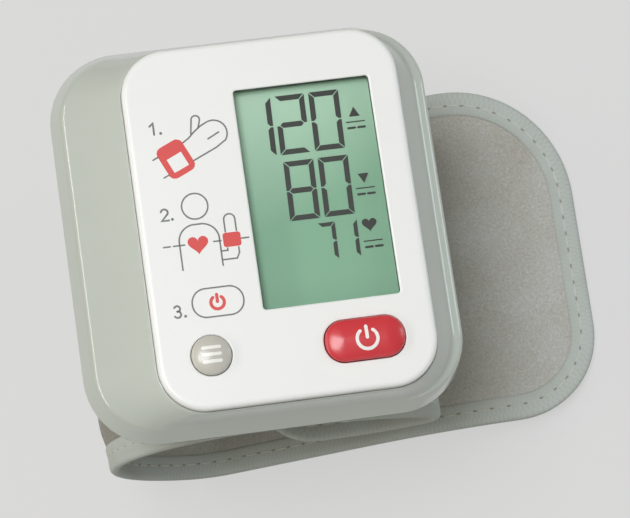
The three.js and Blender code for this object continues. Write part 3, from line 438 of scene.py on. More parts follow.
class PrintSettings(bpy.types.PropertyGroup):
    """Sizes and colours of the panel's print."""

    line_colour: colour_setting("Line colour", "Colour of the printed lines", (122, 122, 124))
    mark_colour: colour_setting("Mark colour", "Colour of the printed marks", (224, 78, 76))
    line_width: length_setting("Line width", "Width of a printed line", 0.28)


class CuffSettings(bpy.types.PropertyGroup):
    """Sizes and colours of the cuff."""

    felt_colour: colour_setting("Felt colour", "Colour of the brushed cloth inside", (208, 210, 211))
    felt_shade: colour_setting("Felt shade", "Colour of the hollows in the brushed cloth", (169, 162, 147))
    cloth_colour: colour_setting("Cloth colour", "Colour of the cloth outside", (156, 153, 142))
    tape_colour: colour_setting("Tape colour", "Colour of the edge tape", (193, 199, 196))
    # Painted shade between the tape's threads
    tape_shade: colour_setting("Tape shade", "Colour between the tape's threads", (179, 183, 176))
    thread_colour: colour_setting("Thread colour", "Colour of the stitches", (212, 216, 208))
    # Painted shade of the needle holes: a dark colour on the beads that stand in for them
    hole_colour: colour_setting("Hole colour", "Colour of the needle holes", (166, 165, 154))
    tape_width: length_setting("Tape width", "Width of the edge tape on each face", 5)
    stitch_inset: length_setting("Stitch inset", "Distance of the stitches from the cuff's edge", 2.95)
    stitch_pitch: length_setting("Stitch pitch", "Distance from stitch to stitch", 3.35)
    stitch_length: length_setting("Stitch length", "Length of the thread that shows", 2.7)
    hole_length: length_setting("Hole length", "Length of a needle hole between two stitches", 0.95)
    columns: IntProperty(name="Columns", description="Faces across the cuff", default=52, min=8)


class StageSettings(bpy.types.PropertyGroup):
    """Floor and light."""

    floor_colour: colour_setting("Floor colour", "Colour of the floor as it is seen", (250, 250, 250))
    floor_tone: colour_setting("Floor tone", "Colour of the floor for the light it returns", (160, 160, 160))
    floor_glow: share_setting("Floor glow", "Share of the floor seen in its plain colour", 0.58)
    top_power: power_setting("Top power", "Power of the broad light overhead", 8.0)
    left_power: power_setting("Left power", "Power of the light from the left", 3.1)
    edge_power: power_setting("Edge power", "Power of the front edge light; the right one is stronger", 0.7)
    sky: FloatProperty(name="Sky", description="Strength of the even light from all round",
                       default=0.26, min=0)
    top_tint: colour_setting("Top tint", "Colour of the broad light overhead", (249, 252, 255))
    left_tint: colour_setting("Left tint", "Colour of the light from the left", (255, 250, 239))
    edge_tint: colour_setting("Edge tint", "Colour of the front and right lights", (226, 246, 255))
    sky_tint: colour_setting("Sky tint", "Colour of the even light from all round", (255, 247, 226))


def shell_material(context):
    colour = context.scene.monitor_housing.shell_colour
    return plastic("shell_plastic", colour, 0.36, grain=1800, bump=0.02, tone=0.97,
                   Coat_Weight=1.0, Coat_Roughness=0.06)


# The panel's section: its rounded edge, its skirt in the housing's groove, and flat strips beside the curves
EDGE_DEPTH, EDGE_STEPS = 0.8, 7
SKIRT_INSET, SKIRT_DEPTH, SKIRT_CHAMFER = 0.55, 0.4, 0.1
EDGE_FLAT, LIP_FLAT, LIP_STEPS = 0.3, 0.2, 3
# The panel's openings, each with the radius of its lip; the buttons have a gap round them
OPENINGS = ((SIGHT, 0.25), (inset(POWER, -0.17), 0.15), (inset(MEMORY, -0.12), 0.15))
# Height where the display opening's edge turns dark with painted shade, and how near to the opening its faces
# lie
DARK_FROM, CLOSE = -0.3, 0.01


class MONITOR_OT_front_panel(bpy.types.Operator):
    """White front panel with a display opening and two button openings"""

    bl_idname = "monitor.front_panel"
    bl_label = "Front panel"

    def execute(self, context):
        settings = context.scene.monitor_housing
        edge, skirt = settings.panel_edge / MM, DECK_TOP - SKIRT_DEPTH
        outer = [ring(inset(PANEL, SKIRT_INSET), PANEL_BACK), ring(inset(PANEL, SKIRT_INSET), skirt),
                 ring(inset(PANEL, SKIRT_CHAMFER), skirt), ring(PANEL, skirt + SKIRT_CHAMFER)]
        for step in range(EDGE_STEPS + 1):
            angle = math.pi / 2 * step / EDGE_STEPS
            by = edge * (1 - math.cos(angle))
            outer.append(ring(inset(PANEL, by), EDGE_DEPTH * (math.sin(angle) - 1)))
        outer.append(ring(inset(PANEL, edge + EDGE_FLAT), 0))
        skin = Skin()
        rings = skin.bridge(outer)
        holes = []
        for hole, lip in OPENINGS:
            walls = [ring(inset(hole, -lip - LIP_FLAT), 0)]
            for step in range(LIP_STEPS + 1):
                angle = math.pi / 2 * step / LIP_STEPS
                walls.append(ring(inset(hole, -lip * (1 - math.sin(angle))), lip * (math.cos(angle) - 1)))
            walls.append(ring(hole, PANEL_BACK))
            holes.append(skin.bridge(walls))
        skin.cap(rings[-1], *[hole[0] for hole in holes])
        skin.cap(rings[0], *[hole[-1] for hole in holes])
        # Painted shade: the display opening's walls below the lip take the dark colour
        left, right, bottom, top, _ = inset(SIGHT, -CLOSE)
        for face in skin.bm.faces:
            middle = face.calc_center_median()
            framed = left < middle.x < right and bottom < middle.y < top
            face.material_index = int(framed and PANEL_BACK < middle.z < DARK_FROM)
        dark = plastic("opening_painted_shade", settings.opening_colour, 0.5, grain=3000, bump=0.05, tone=0.9)
        white = plastic("panel_plastic", settings.panel_colour, 0.36, grain=1500, bump=0.015, tone=0.985,
                        Coat_Weight=0.2, Coat_Roughness=0.15)
        settle(piece("front_panel_face", skin.bm, [white, dark]), "unit", "panel_white", "front_panel")
        return {"FINISHED"}


# Inset and height of the rim's rounded edge
RIM_EDGE = ((0.3, 0), (0.08, 0.08), (0, 0.35))
# Steps of the wall's curves, and the wall's steps that stay between the rounded shoulder and the lip
WALL_STEPS, SHOULDER_STEPS, TURN_STEPS = 40, 32, 4
WALL_FIRST, WALL_LAST = 6, 38
# Where the rounded shoulder starts, as a share of the way to the rim, and the share of the corners' hollow
SHOULDER_START, CORNER_HOLLOW = 0.3, 0.5
# The housing's inside: wall, inset of the deck's underside, and drop of the inner shoulder
SHELL_WALL, DECK_INSET, INNER_DROP = 1.6, 2.1, 0.8
# Room in the deck round the display and round the buttons
SIGHT_ROOM, BUTTON_ROOM = 0.6, 0.3
# The right rim: how far it leans in, the reach of its two rounded corners and their steps
RIM_LEAN, FLANGE_ROUNDS, FLANGE_STEPS = 0.35, (0.95, 0.6), 16


class MONITOR_OT_upper_housing(bpy.types.Operator):
    """Grey upper housing that flares from under the panel to a rounded rim"""

    bl_idname = "monitor.upper_housing"
    bl_label = "Upper housing"

    def execute(self, context):
        settings = context.scene.monitor_housing
        rim = (BODY, RIM)
        shoulder = (inset(BODY, settings.shoulder_inset / MM), -settings.shoulder_depth / MM)
        gap = settings.panel_gap / MM
        lip = (inset(PANEL, -gap - 0.3), DECK_TOP - 0.12)
        edge = (inset(PANEL, -gap), DECK_TOP - 0.06)
        groove = [(inset(PANEL, 0.05 - gap), DECK_TOP - 1), (inset(PANEL, 0.7), DECK_TOP - 1),
                  (inset(PANEL, 0.9), DECK_TOP)]

        def at(first, second, share):
            return between(first[0], second[0], share), first[1] + (second[1] - first[1]) * share

        def curve(start, middle, end, steps):
            shares = [step / steps for step in range(steps + 1)]
            return [at(at(start, middle, share), at(middle, end, share), share) for share in shares]

        hollow = [settings.left_hollow, *[settings.wall_hollow] * 3, CORNER_HOLLOW]
        foot = (tuple(a + (b - a) * share for a, b, share in zip(shoulder[0], lip[0], hollow)),
                at(shoulder, lip, settings.wall_rise)[1])
        wall = curve(shoulder, foot, lip, WALL_STEPS)
        levels = [(inset(BODY, by), RIM + rise) for by, rise in RIM_EDGE]
        levels += curve(at(shoulder, rim, SHOULDER_START), shoulder, wall[WALL_FIRST], SHOULDER_STEPS)
        levels += wall[WALL_FIRST + 1:WALL_LAST + 1]
        flange = self.right_rim(settings, levels[-1])
        levels[2:] = [((x0, flange(z), y0, y1, corner), z) for (x0, _, y0, y1, corner), z in levels[2:]]
        levels += curve(wall[WALL_LAST], lip, edge, TURN_STEPS)[1:]
        seam = len(levels) - 1
        levels += groove
        inner = [(inset(PANEL, DECK_INSET), DECK_BACK),
                 (inset(shoulder[0], SHELL_WALL), shoulder[1] - INNER_DROP), (inset(BODY, SHELL_WALL), RIM)]
        skin = Skin()
        outside = skin.bridge([ring(*level) for level in levels])
        around = len(outside[0])
        for number, face in enumerate(skin.bm.faces):
            face.material_index = int(number >= seam * around)
        inside = skin.bridge([ring(*level) for level in inner])
        holes = [skin.bridge([ring(hole, DECK_TOP), ring(hole, DECK_BACK)])
                 for hole in (inset(SIGHT, -SIGHT_ROOM), inset(POWER, -BUTTON_ROOM),
                              inset(MEMORY, -BUTTON_ROOM))]
        skin.cap(outside[-1], *[hole[0] for hole in holes])
        skin.cap(inside[0], *[hole[-1] for hole in holes])
        for i in range(around):
            skin.bm.faces.new((outside[0][i - 1], outside[0][i], inside[-1][i], inside[-1][i - 1]))
        dark = plastic("seam_shadow", darker(settings.shell_colour, 0.6), 0.6)
        settle(piece("upper_housing_shell", skin.bm, [shell_material(context), dark]), "unit", "shell_grey",
               "upper_housing")
        return {"FINISHED"}

    def right_rim(self, settings, top):
        """Where the right wall lies at each height: a plain slope, a hollow, a flange and a rounded rim."""
        depth, fall = -settings.shoulder_depth / MM, settings.flange_fall / MM
        corners = [Vector((BODY[1], RIM)), Vector((BODY[1] - RIM_LEAN, depth - fall)),
                   Vector((BODY[1] - settings.flange_width / MM, depth)), Vector((top[0][1], top[1]))]
        line = [corners[0]]
        for before, corner, after, length in zip(corners, corners[1:], corners[2:], FLANGE_ROUNDS):
            start = corner + (before - corner).normalized() * length
            end = corner + (after - corner).normalized() * length
            for step in range(FLANGE_STEPS + 1):
                share = step / FLANGE_STEPS
                line.append(start.lerp(corner, share).lerp(corner.lerp(end, share), share))
        line.append(corners[-1])

        def place(z):
            low, high = next(pair for pair in zip(line, line[1:]) if z <= pair[1].y + 1e-6)
            return low.x + (high.x - low.x) * (z - low.y) / (high.y - low.y)

        return place


# Angle in degrees up to which a small part is shaded smooth
SMALL_PART = 40
# Points nearer than this, in metres, count as one
NEAR = 0.00001


def smooth_solid(name, material, angle=28):
    """A solid that stays as it is, shaded smooth up to an angle."""
    solid = frame["nodes"][name]
    solid.data.materials.clear()
    solid.data.materials.append(material)
    solid.data.polygons.foreach_set("use_smooth", [True] * len(solid.data.polygons))
    weld = solid.modifiers.new("Weld", "WELD")
    weld.merge_threshold = NEAR
    split = solid.modifiers.new("Hard edges", "EDGE_SPLIT")
    split.split_angle = math.radians(angle)


# A grip rib: how many, half of its width, its corner, and its section as inset and height
RIB_COUNT, RIB_HALF, RIB_CORNER = 5, 0.45, 0.44
RIB_SECTION = ((0, -0.3), (0, 0.12), (0.08, 0.26), (0.22, 0.34), (0.38, 0.36))


class MONITOR_OT_rear_housing(bpy.types.Operator):
    """Rear housing, battery door and screws, which keep their solids"""

    bl_idname = "monitor.rear_housing"
    bl_label = "Rear housing"

    def execute(self, context):
        settings = context.scene.monitor_housing
        dull = plastic("rear_plastic", settings.shell_colour, 0.42, grain=1800, bump=0.03, tone=0.97,
                       Coat_Weight=0.25, Coat_Roughness=0.2)
        for name in ("rear_housing", "battery_door"):
            smooth_solid(name, dull)
        self.door_grip(settings, dull)
        steel = metal("screw_steel", linear((188, 190, 194)), 0.38)
        for name in frame["nodes"]:
            if name.startswith(("housing_screw", "cuff_screw")):
                smooth_solid(name, steel, SMALL_PART)
        return {"FINISHED"}

    def door_grip(self, settings, material):
        """Raised ribs for the thumb on the door's outer face."""
        door = frame["nodes"]["battery_door"]
        face = max((side for side in door.data.polygons if side.normal.x < 0), key=lambda side: side.area)
        points = [vertex.co for vertex in door.data.vertices
                  if abs((vertex.co - face.center).dot(face.normal)) < NEAR]
        middle = sum(points, Vector()) / len(points)
        along = Vector((0, 1, 0))
        up = face.normal.cross(along).normalized()
        turn = Matrix((along, up, face.normal)).transposed() * MM
        place = Matrix.Translation(middle) @ turn.to_4x4()
        half, gap = settings.rib_length / MM / 2, settings.rib_pitch / MM
        skin = Skin()
        for row in range(RIB_COUNT):
            centre = (row - (RIB_COUNT - 1) / 2) * gap
            rib = (centre - RIB_HALF, centre + RIB_HALF, -half, half, RIB_CORNER)
            skin.stack([ring(inset(rib, by), rise) for by, rise in RIB_SECTION])
        settle(piece("battery_door_grip", skin.bm, [material], 50, place), "battery_door", "shell_grey")


class MONITOR_OT_inner_parts(bpy.types.Operator):
    """Circuit board, pump, valve, air line, cells and contacts inside the housings"""

    bl_idname = "monitor.inner_parts"
    bl_label = "Inner parts"

    def execute(self, context):
        white = plastic("natural_plastic", linear((230, 230, 224)), 0.45)
        dark = plastic("dark_plastic", linear((44, 46, 48)), 0.5)
        rubber = plastic("dark_rubber", linear((48, 48, 50)), 0.75, grain=5200, bump=0.3)
        hose = plastic("hose_silicone", linear((222, 226, 222)), 0.4)
        board = plastic("board_laminate", linear((46, 108, 70)), 0.35, grain=1900, bump=0.1, tone=0.8)
        jacket = plastic("cell_jacket", linear((64, 66, 72)), 0.36, grain=900, bump=0.03, tone=0.85)
        steel = metal("can_steel", linear((190, 192, 196)), 0.4)
        brass = metal("contact_brass", linear((200, 178, 122)), 0.4)
        finishes = {
            white: ("lcd_holder", "power_switch_plunger", "memory_switch_plunger", "pump_head",
                    "air_manifold", "valve_cap", "cuff_nipple"),
            dark: ("power_switch_base", "memory_switch_base", "microcontroller", "pressure_sensor",
                   "valve_body"),
            rubber: ("elastomer_strip_lower", "elastomer_strip_upper", "nipple_seal"),
            hose: ("pump_tube", "sensor_sleeve", "valve_tube"),
            board: ("main_board",),
            jacket: ("outer_cell", "inner_cell"),
            steel: ("pump_motor", "pump_shaft", "valve_plunger", "outer_cell_spring",
                    "inner_cell_spring"),
            brass: ("bridge_contact", "negative_contact", "positive_contact"),
        }
        for material, names in finishes.items():
            for name in names:
                smooth_solid(name, material, SMALL_PART)
        return {"FINISHED"}


# Flat print: shapes are lists of polygons in the display's frame
MITRE_LIMIT, END_STEPS = 0.5, 5
HEART_STEPS, HEART_WIDTH = 36, 32
INK_THICK, SYMBOL_THICK, JOIN = 0.05, 0.06, 0.002


def stroke(points, width, closed=False):
    """Polygons of a line of one width through points, with round ends where it is open."""
    points = [Vector(point) for point in points]
    count, half = len(points), width / 2
    sides = []
    for i, point in enumerate(points):
        before = points[i - 1] if closed or i else point
        after = points[(i + 1) % count] if closed or i + 1 < count else point
        into, away = (point - before), (after - point)
        along = (into.normalized() + away.normalized()).normalized()
        normal = Vector((-along.y, along.x))
        heading = into.normalized() if into.length else away.normalized()
        square = max(abs(normal.dot(Vector((-heading.y, heading.x)))), MITRE_LIMIT)
        sides.append((point + normal * half / square, point - normal * half / square))
    polygons = []
    for i in range(count if closed else count - 1):
        (a, b), (c, d) = sides[i], sides[(i + 1) % count]
        polygons.append([a, b, d, c])
    if not closed:
        for (a, b), way in ((sides[0], points[0] - points[1]), (sides[-1], points[-1] - points[-2])):
            middle, out = (a + b) / 2, way.normalized() * half
            across = (b - a) / 2
            angles = [math.pi * step / END_STEPS for step in range(1, END_STEPS)]
            end = [middle - across * math.cos(angle) + out * math.sin(angle) for angle in angles]
            polygons.append([a, *end, b])
    return polygons


def bow(x, y, radius, start, end, steps):
    angles = [math.radians(start + (end - start) * step / steps) for step in range(steps + 1)]
    return [(x + radius * math.cos(angle), y + radius * math.sin(angle)) for angle in angles]


def capsule(outline):
    return [point.to_2d() for point in ring(outline, 0)]


def heart(x, y, size):
    points = []
    for step in range(HEART_STEPS):
        t = 2 * math.pi * step / HEART_STEPS
        across = 16 * math.sin(t) ** 3
        up = 13 * math.cos(t) - 5 * math.cos(2 * t) - 2 * math.cos(3 * t) - math.cos(4 * t)
        points.append((x + across * size / HEART_WIDTH, y + up * size / HEART_WIDTH))
    return points


def switch_symbol(x, y, radius, width):
    """A broken ring with a bar through the break, the common sign for a power switch."""
    return [*stroke(bow(x, y, radius, 128, 412, 22), width),
            *stroke([(x, y + radius * share) for share in (0.1, 0.3, 0.5, 0.7, 0.9, 1.2)], width)]


def turned(polygons, x, y, degrees):
    spin = Matrix.Rotation(math.radians(degrees), 2)
    return [[spin @ Vector(point) + Vector((x, y)) for point in polygon] for polygon in polygons]


NUMERALS = {
    "1": [[(0.1, 1.6), (0.75, 2.1), (0.75, 0)]],
    "2": [[*bow(0.65, 1.48, 0.62, 165, -32, 14), (0.05, 0), (1.32, 0)]],
    "3": [[*bow(0.6, 1.57, 0.53, 150, -88, 14)], [*bow(0.6, 0.55, 0.59, 92, -150, 16)]],
}


def numeral(character, x, y, width):
    """A step's number and its dot as polygons, the lower left corner at a point."""
    shapes = [stroke([(px + x, py + y) for px, py in line], width) for line in NUMERALS[character]]
    dot = bow(x + 1.95, y + 0.12, width * 0.75, 0, 324, 9)
    return [polygon for shape in shapes for polygon in shape] + [dot]


def ink(name, polygons, material, height, thick=INK_THICK):
    """Print as a thin closed layer whose underside lies just in the surface under it."""
    bm = bmesh.new()
    for polygon in polygons:
        bm.faces.new([bm.verts.new((point[0], point[1], 0)) for point in polygon])
    bmesh.ops.remove_doubles(bm, verts=bm.verts, dist=JOIN)
    bmesh.ops.recalc_face_normals(bm, faces=bm.faces)
    for face in bm.faces:
        if face.normal.z < 0:
            face.normal_flip()
    lower = list(bm.verts)
    raised = bmesh.ops.extrude_face_region(bm, geom=list(bm.faces), use_keep_orig=True)["geom"]
    upper = [item for item in raised if isinstance(item, bmesh.types.BMVert)]
    for vertex in lower:
        vertex.co.z = height(vertex.co) - thick / 2
    for vertex in upper:
        vertex.co.z = height(vertex.co) + thick / 2
    return piece(name, bm, [material])


# Place of the first picture and its turn in degrees
ARM_PLACE = (-16.9, 12.7, 24)


class MONITOR_OT_panel_print(bpy.types.Operator):
    """Step numbers and plain pictures printed on the panel"""

    bl_idname = "monitor.panel_print"
    bl_label = "Panel print"

    def execute(self, context):
        settings = context.scene.monitor_print
        wide = settings.line_width / MM
        lines, marks = [], []
        for character, y in (("1", 17.6), ("2", 1.7), ("3", -16.0)):
            lines += numeral(character, -20.9, y, wide * 1.25)
        # A forearm in a band
        arm = [*stroke([(-3.6, 1.9), (-2.6, 1.9)], wide), *stroke([(-3.6, -1.9), (-2.6, -1.9)], wide)]
        mitten = [(2.7, 1.9), (4.0, 2.1), (5.4, 2.6), (7.0, 2.95), *bow(8.3, 0.55, 2.45, 88, -60, 10),
                  (7.4, -1.9), (5.2, -1.9), (2.7, -1.9)]
        thumb = [(4.7, 2.5), (5.6, 3.9), *bow(6.8, 4.4, 0.75, 140, -40, 8), (6.5, 2.9)]
        arm += [*stroke(mitten, wide), *stroke(thumb, wide), *stroke([(6.9, 0.2), (9.2, 0.3)], wide)]
        lines += turned(arm, *ARM_PLACE)
        band = stroke(capsule((-2.05, 2.05, -2.65, 2.65, 0.7)), 1.1, True)
        band.append([(-1.5, 0.7), (1.5, 0.7), (1.5, 2.1), (-1.5, 2.1)])
        marks += turned(band, *ARM_PLACE)
        # A seated reader with the band at the height of the heart
        lines += stroke(bow(-14.7, 3.7, 2.35, 0, 350, 30), wide, True)
        chest = [(-18.3, -7.6), (-18.3, -2.6), *bow(-15.3, -2.6, 3.0, 170, 95, 8),
                 *bow(-14.1, -2.6, 3.0, 85, 10, 8), (-11.1, -2.6), (-11.1, -7.6)]
        lines += stroke(chest, wide)
        lines += stroke([(-11.1, -6.6), (-8.4, -6.6), (-7.9, -5.6), (-7.9, -4.6)], wide)
        lines += stroke([(-11.1, -5.0), (-9.9, -5.0), (-9.9, -4.6)], wide)
        fist = [(-9.9, -1.6), (-9.9, 0.2), *bow(-8.9, 0.6, 1.0, 170, 10, 8), (-7.9, 0.2), (-7.9, -1.6)]
        lines += stroke(fist, wide)
        for start, end in ((-21.2, -20.0), (-19.4, -17.4), (-12.2, -10.9), (-7.2, -5.9)):
            lines += stroke([(start, -3.1), (end, -3.1)], wide)
        marks.append(heart(-15.0, -3.2, 3.7))
        marks.append(capsule((-10.5, -7.3, -4.4, -1.8, 0.5)))
        # The switch to press
        lines += stroke(capsule((-17.5, -8.3, -16.6, -11.4, 2.5)), wide, True)
        marks += switch_symbol(-13.0, -14.1, 1.2, 0.58)
        grey = plastic("ink_grey", settings.line_colour, 0.5, grain=6000, bump=0.1, tone=0.88)
        red = plastic("ink_red", settings.mark_colour, 0.45, grain=6000, bump=0.1, tone=0.92)
        settle(ink("print_lines", lines, grey, lambda point: 0), "unit", "panel_white")
        settle(ink("print_marks", marks, red, lambda point: 0), "unit", "panel_white")
        return {"FINISHED"}


SEGMENTS = {"0": "abcdef", "1": "bc", "2": "abdeg", "7": "abc", "8": "abcdefg"}
SEGMENT_GAP, SEGMENT_CUT, LEAN = 0.12, 0.8, 0.02
# Width and height of a figure, and its stroke as a share of the large one
LARGE, SMALL = (5.5, 11.0, 1.0), (3.2, 6.9, 0.75)
# Each row's figures, the right edge of each, the row's foot and its size
ROWS = (("120", (1.5, 7.7, 14.0), 11.75, LARGE), ("80", (7.7, 14.0), -0.55, LARGE),
        ("71", (10.0, 14.0), -8.45, SMALL))
# Height of the figures' middle above the front glass
FIGURES_RISE = 0.03
# Painted light and shade: the cell is lighter near its upper corner and darkens down a slanted line, between
# two places in metres
CELL_SLANT, CELL_PAINTED_LIGHT, CELL_PAINTED_SHADE = 0.4, -0.021, 0.003


def digit(character, x1, y0, width, height, wide):
    """Seven bars with mitred ends; the box is given by its right edge and foot."""
    x0, y1, middle, gap = x1 - width, y0 + height, y0 + height / 2, SEGMENT_GAP
    half, cut = wide / 2, wide * SEGMENT_CUT

    def upright(x, low, high, side):
        return [(x, low + gap), (x, high - gap), (x - side * cut, high - gap - cut),
                (x - side * wide, high - gap - wide), (x - side * wide, low + gap + half),
                (x - side * half, low + gap)]

    def level(y, side):
        inner = y - side * wide
        return [(x0 + gap, y), (x1 - gap, y), (x1 - gap - wide, inner), (x0 + gap + wide, inner)]

    bars = {
        "a": level(y1, 1), "d": level(y0, -1),
        "b": upright(x1, middle, y1, 1), "f": upright(x0, middle, y1, -1),
        "g": [(x0 + gap + half, middle), (x0 + gap + wide, middle + half), (x1 - gap - wide, middle + half),
              (x1 - gap - half, middle), (x1 - gap - wide, middle - half), (x0 + gap + wide, middle - half)],
    }
    for lower, upper in (("c", "b"), ("e", "f")):
        bars[lower] = [(x, 2 * middle - y) for x, y in bars[upper]]
    return [[(x + (y - y0) * LEAN, y) for x, y in bars[bar]] for bar in SEGMENTS[character]]


class MONITOR_OT_display(bpy.types.Operator):
    """Liquid crystal cell with its figures, under a clear window"""

    bl_idname = "monitor.display"
    bl_label = "Display"

    def execute(self, context):
        settings = context.scene.monitor_display
        wide = settings.stroke / MM
        shapes = []
        for characters, rights, foot, (width, height, share) in ROWS:
            for character, right in zip(characters, rights):
                shapes += digit(character, right, foot, width, height, wide * share)
        shapes.append(heart(16.3, -2.75, 2.7))
        for foot, tip in ((17.35, 19.15), (6.65, 4.85)):
            shapes.append([(15.5, foot), (17.5, foot), (16.5, tip)])
        for y in (16.35, 3.95, -5.85):
            shapes += stroke([(14.9, y), (18.2, y)], 0.22)
            shapes += stroke([(15.1, y - 1.1), (16.3, y - 1.1)], 0.42)
            shapes += stroke([(16.9, y - 1.1), (18.1, y - 1.1)], 0.42)
        dark = plastic("segment_dark", settings.segment_colour, 0.5, grain=5000, bump=0.05, tone=0.9)
        figures = ink("lcd_figures", shapes, dark, lambda point: FRONT_GLASS + FIGURES_RISE)
        settle(figures, "unit", "lcd_green")
        cell = plastic("lcd_cell_painted_light", settings.cell_colour, 0.36, grain=7000, bump=0.05, tone=1.0,
                       Coat_Weight=0.25, Coat_Roughness=0.1)
        # Painted light and shade: the cell is lighter near its upper corner and darker down a slanted line
        tree = cell.node_tree
        detail = next(node for node in tree.nodes if node.type == "GROUP")
        where = add_node(tree, "ShaderNodeTexCoord").outputs["Object"]
        place = add_node(tree, "ShaderNodeSeparateXYZ", {0: where})
        across = maths(tree, "MULTIPLY", place.outputs["X"], CELL_SLANT)
        down = maths(tree, "SUBTRACT", across, place.outputs["Y"])
        depth = spread(tree, down, CELL_PAINTED_LIGHT, CELL_PAINTED_SHADE, 0, 1)
        shaded = blended(tree, depth, settings.cell_colour, settings.cell_shade)
        for socket in ("Colour", "Deep colour"):
            tree.links.new(shaded, detail.inputs[socket])
        smooth_solid("lcd_glass", cell, SMALL_PART)
        skin = Skin()
        skin.stack([ring(inset(SIGHT, by), z) for by, z in
                    ((-0.45, GLASS_TOP), (-0.45, FRONT_GLASS - 0.1), (-0.35, FRONT_GLASS))])
        settle(piece("lcd_front_glass", skin.bm, [cell]), "unit", "lcd_green")
        clear = plastic("window_clear", linear((110, 118, 114)), 0.08, grain=2000, bump=0.01, tone=0.98,
                        Alpha=0.06, IOR=1.49)
        smooth_solid("display_window", clear, SMALL_PART)
        return {"FINISHED"}


# A button's section as inset and height, drawn for one height of its crown, and the height of its foot
CROWN = ((0, 0.15), (0.03, 0.42), (0.14, 0.62), (0.38, 0.8), (0.8, 0.97), (1.4, 1.15), (2.1, 1.3),
         (2.8, 1.41), (3.25, 1.46), (3.42, 1.47))
CROWN_HEIGHT, BUTTON_FOOT = 1.5, -3.6
# Above every crown, where the rays start that find its height
OVER_CROWN = 10


class MONITOR_OT_buttons(bpy.types.Operator):
    """Domed power and memory buttons with printed symbols"""

    bl_idname = "monitor.buttons"
    bl_label = "Buttons"

    def execute(self, context):
        settings = context.scene.monitor_buttons
        top = settings.dome / MM
        red = plastic("power_plastic", settings.power_colour, 0.36, grain=2400, bump=0.02, tone=0.94,
                      Coat_Weight=0.6, Coat_Roughness=0.2)
        grey = plastic("memory_plastic", settings.memory_colour, 0.36, grain=2400, bump=0.02, tone=0.95,
                       Coat_Weight=0.4, Coat_Roughness=0.1)
        light = plastic("symbol_white", settings.symbol_colour, 0.4, grain=6000, bump=0.05, tone=0.96)
        bars = []
        for row in (-1.25, 0, 1.25):
            bars += stroke([(-15.35 + along, -23.45 + row) for along in stops(-1.5, 1.5, 0.3)], 0.6)
        for name, outline, slot, material, symbol in (
            ("power_button", POWER, "button_red", red, switch_symbol(12.4, -24.15, 1.85, 0.6)),
            ("memory_button", MEMORY, "button_grey", grey, bars),
        ):
            skin = Skin()
            levels = [ring(outline, BUTTON_FOOT)]
            levels += [ring(inset(outline, by), rise * top / CROWN_HEIGHT) for by, rise in CROWN]
            skin.stack(levels)
            bmesh.ops.recalc_face_normals(skin.bm, faces=skin.bm.faces)
            tree = BVHTree.FromBMesh(skin.bm)

            def height(point):
                return tree.ray_cast(Vector((point.x, point.y, OVER_CROWN)), Vector((0, 0, -1)))[0].z

            print_piece = ink(name + "_symbol", symbol, light, height, SYMBOL_THICK)
            cap = piece(name + "_cap", skin.bm, [material])
            settle(cap, name, slot, name)
            settle(print_piece, name, slot)
        return {"FINISHED"}


def arc(radius, degrees):
    """A stretch of a line round a radius, as its length and its turn."""
    return radius * math.radians(degrees), math.radians(degrees)


# The cuff's line in the display's frame, walked both ways from the top of its arch
ARCH_X, ARCH_Z = -2.5, -28.375
FORWARD = [arc(30.5, 150), arc(9, 60), (32.0, 0.0), (47.0, -math.radians(38))]
BACKWARD = [arc(44, 42), arc(5, 108), arc(34, 55)]
# Half of the cuff's width, and of its thickness at the edge and over the air bag, with the run between them
CUFF_HALF = 34.05
EDGE_HALF, CORE_HALF = 1.075, 2.075
TAPER, TAPER_INSET = 9.0, 1.5
# Corner radii of the short end and the long end on the upper (1) and the lower (-1) edge
TAIL_CORNER = {1: 12.0, -1: 12.0}
FLAP_CORNER = {1: 24.0, -1: 17.5}


def advance(x, z, heading, length, turn, distance):
    if not turn:
        return x + distance * math.cos(heading), z + distance * math.sin(heading), heading
    radius, angle = length / turn, turn * distance / length
    return (x + radius * (math.sin(heading + angle) - math.sin(heading)),
            z - radius * (math.cos(heading + angle) - math.cos(heading)), heading + angle)


def walk(stretches):
    place, start, walked = (ARCH_X, ARCH_Z, math.pi), 0.0, []
    for length, turn in stretches:
        walked.append((start, *place, length, turn))
        place = advance(*place, length, turn, length)
        start += length
    return walked, start


FORWARD_WALK, FORWARD_REACH = walk(FORWARD)
FLAP_END = FORWARD_REACH + 1.0
BACKWARD_WALK, TAIL_REACH = walk(BACKWARD)
TAIL_END = -TAIL_REACH
CORE_START = -BACKWARD[0][0] - TAPER / 2
CORE_END = FORWARD[0][0] - TAPER
# Where the two stretches of the cuff meet
SEAM = 18.0


def cuff_point(distance, y, height):
    """A point of the cuff: along its line, across it, and above it towards the inside of the loop."""
    walked = FORWARD_WALK if distance >= 0 else BACKWARD_WALK
    way = abs(distance)
    start, x, z, heading, length, turn = [part for part in walked if part[0] <= way + 1e-9][-1]
    x, z, heading = advance(x, z, heading, length, turn, way - start)
    across, up = -math.sin(heading), math.cos(heading)
    if distance < 0:
        x, across = 2 * ARCH_X - x, -across
    return Vector((x + height * across, y, z + height * up))


def eased(share):
    share = min(max(share, 0), 1)
    return share * share * (3 - 2 * share)


def from_edge(distance, y):
    """How far a place on the cuff lies in from its outline."""
    side = 1 if y > 0 else -1
    best = CUFF_HALF - abs(y)
    for left, corners in ((distance - TAIL_END, TAIL_CORNER), (FLAP_END - distance, FLAP_CORNER)):
        corner = corners[side]
        over, aside = corner - left, abs(y) - (CUFF_HALF - corner)
        best = min(best, corner - math.hypot(over, aside) if over > 0 and aside > 0 else left)
    return best


def half_thickness(distance, y):
    """Half of the cuff's thickness: full over the air bag, thin towards the edges and ends."""
    along = eased(min((distance - CORE_START) / TAPER, (CORE_END - distance) / TAPER))
    return EDGE_HALF + (CORE_HALF - EDGE_HALF) * along * eased((from_edge(distance, y) - TAPER_INSET) / TAPER)


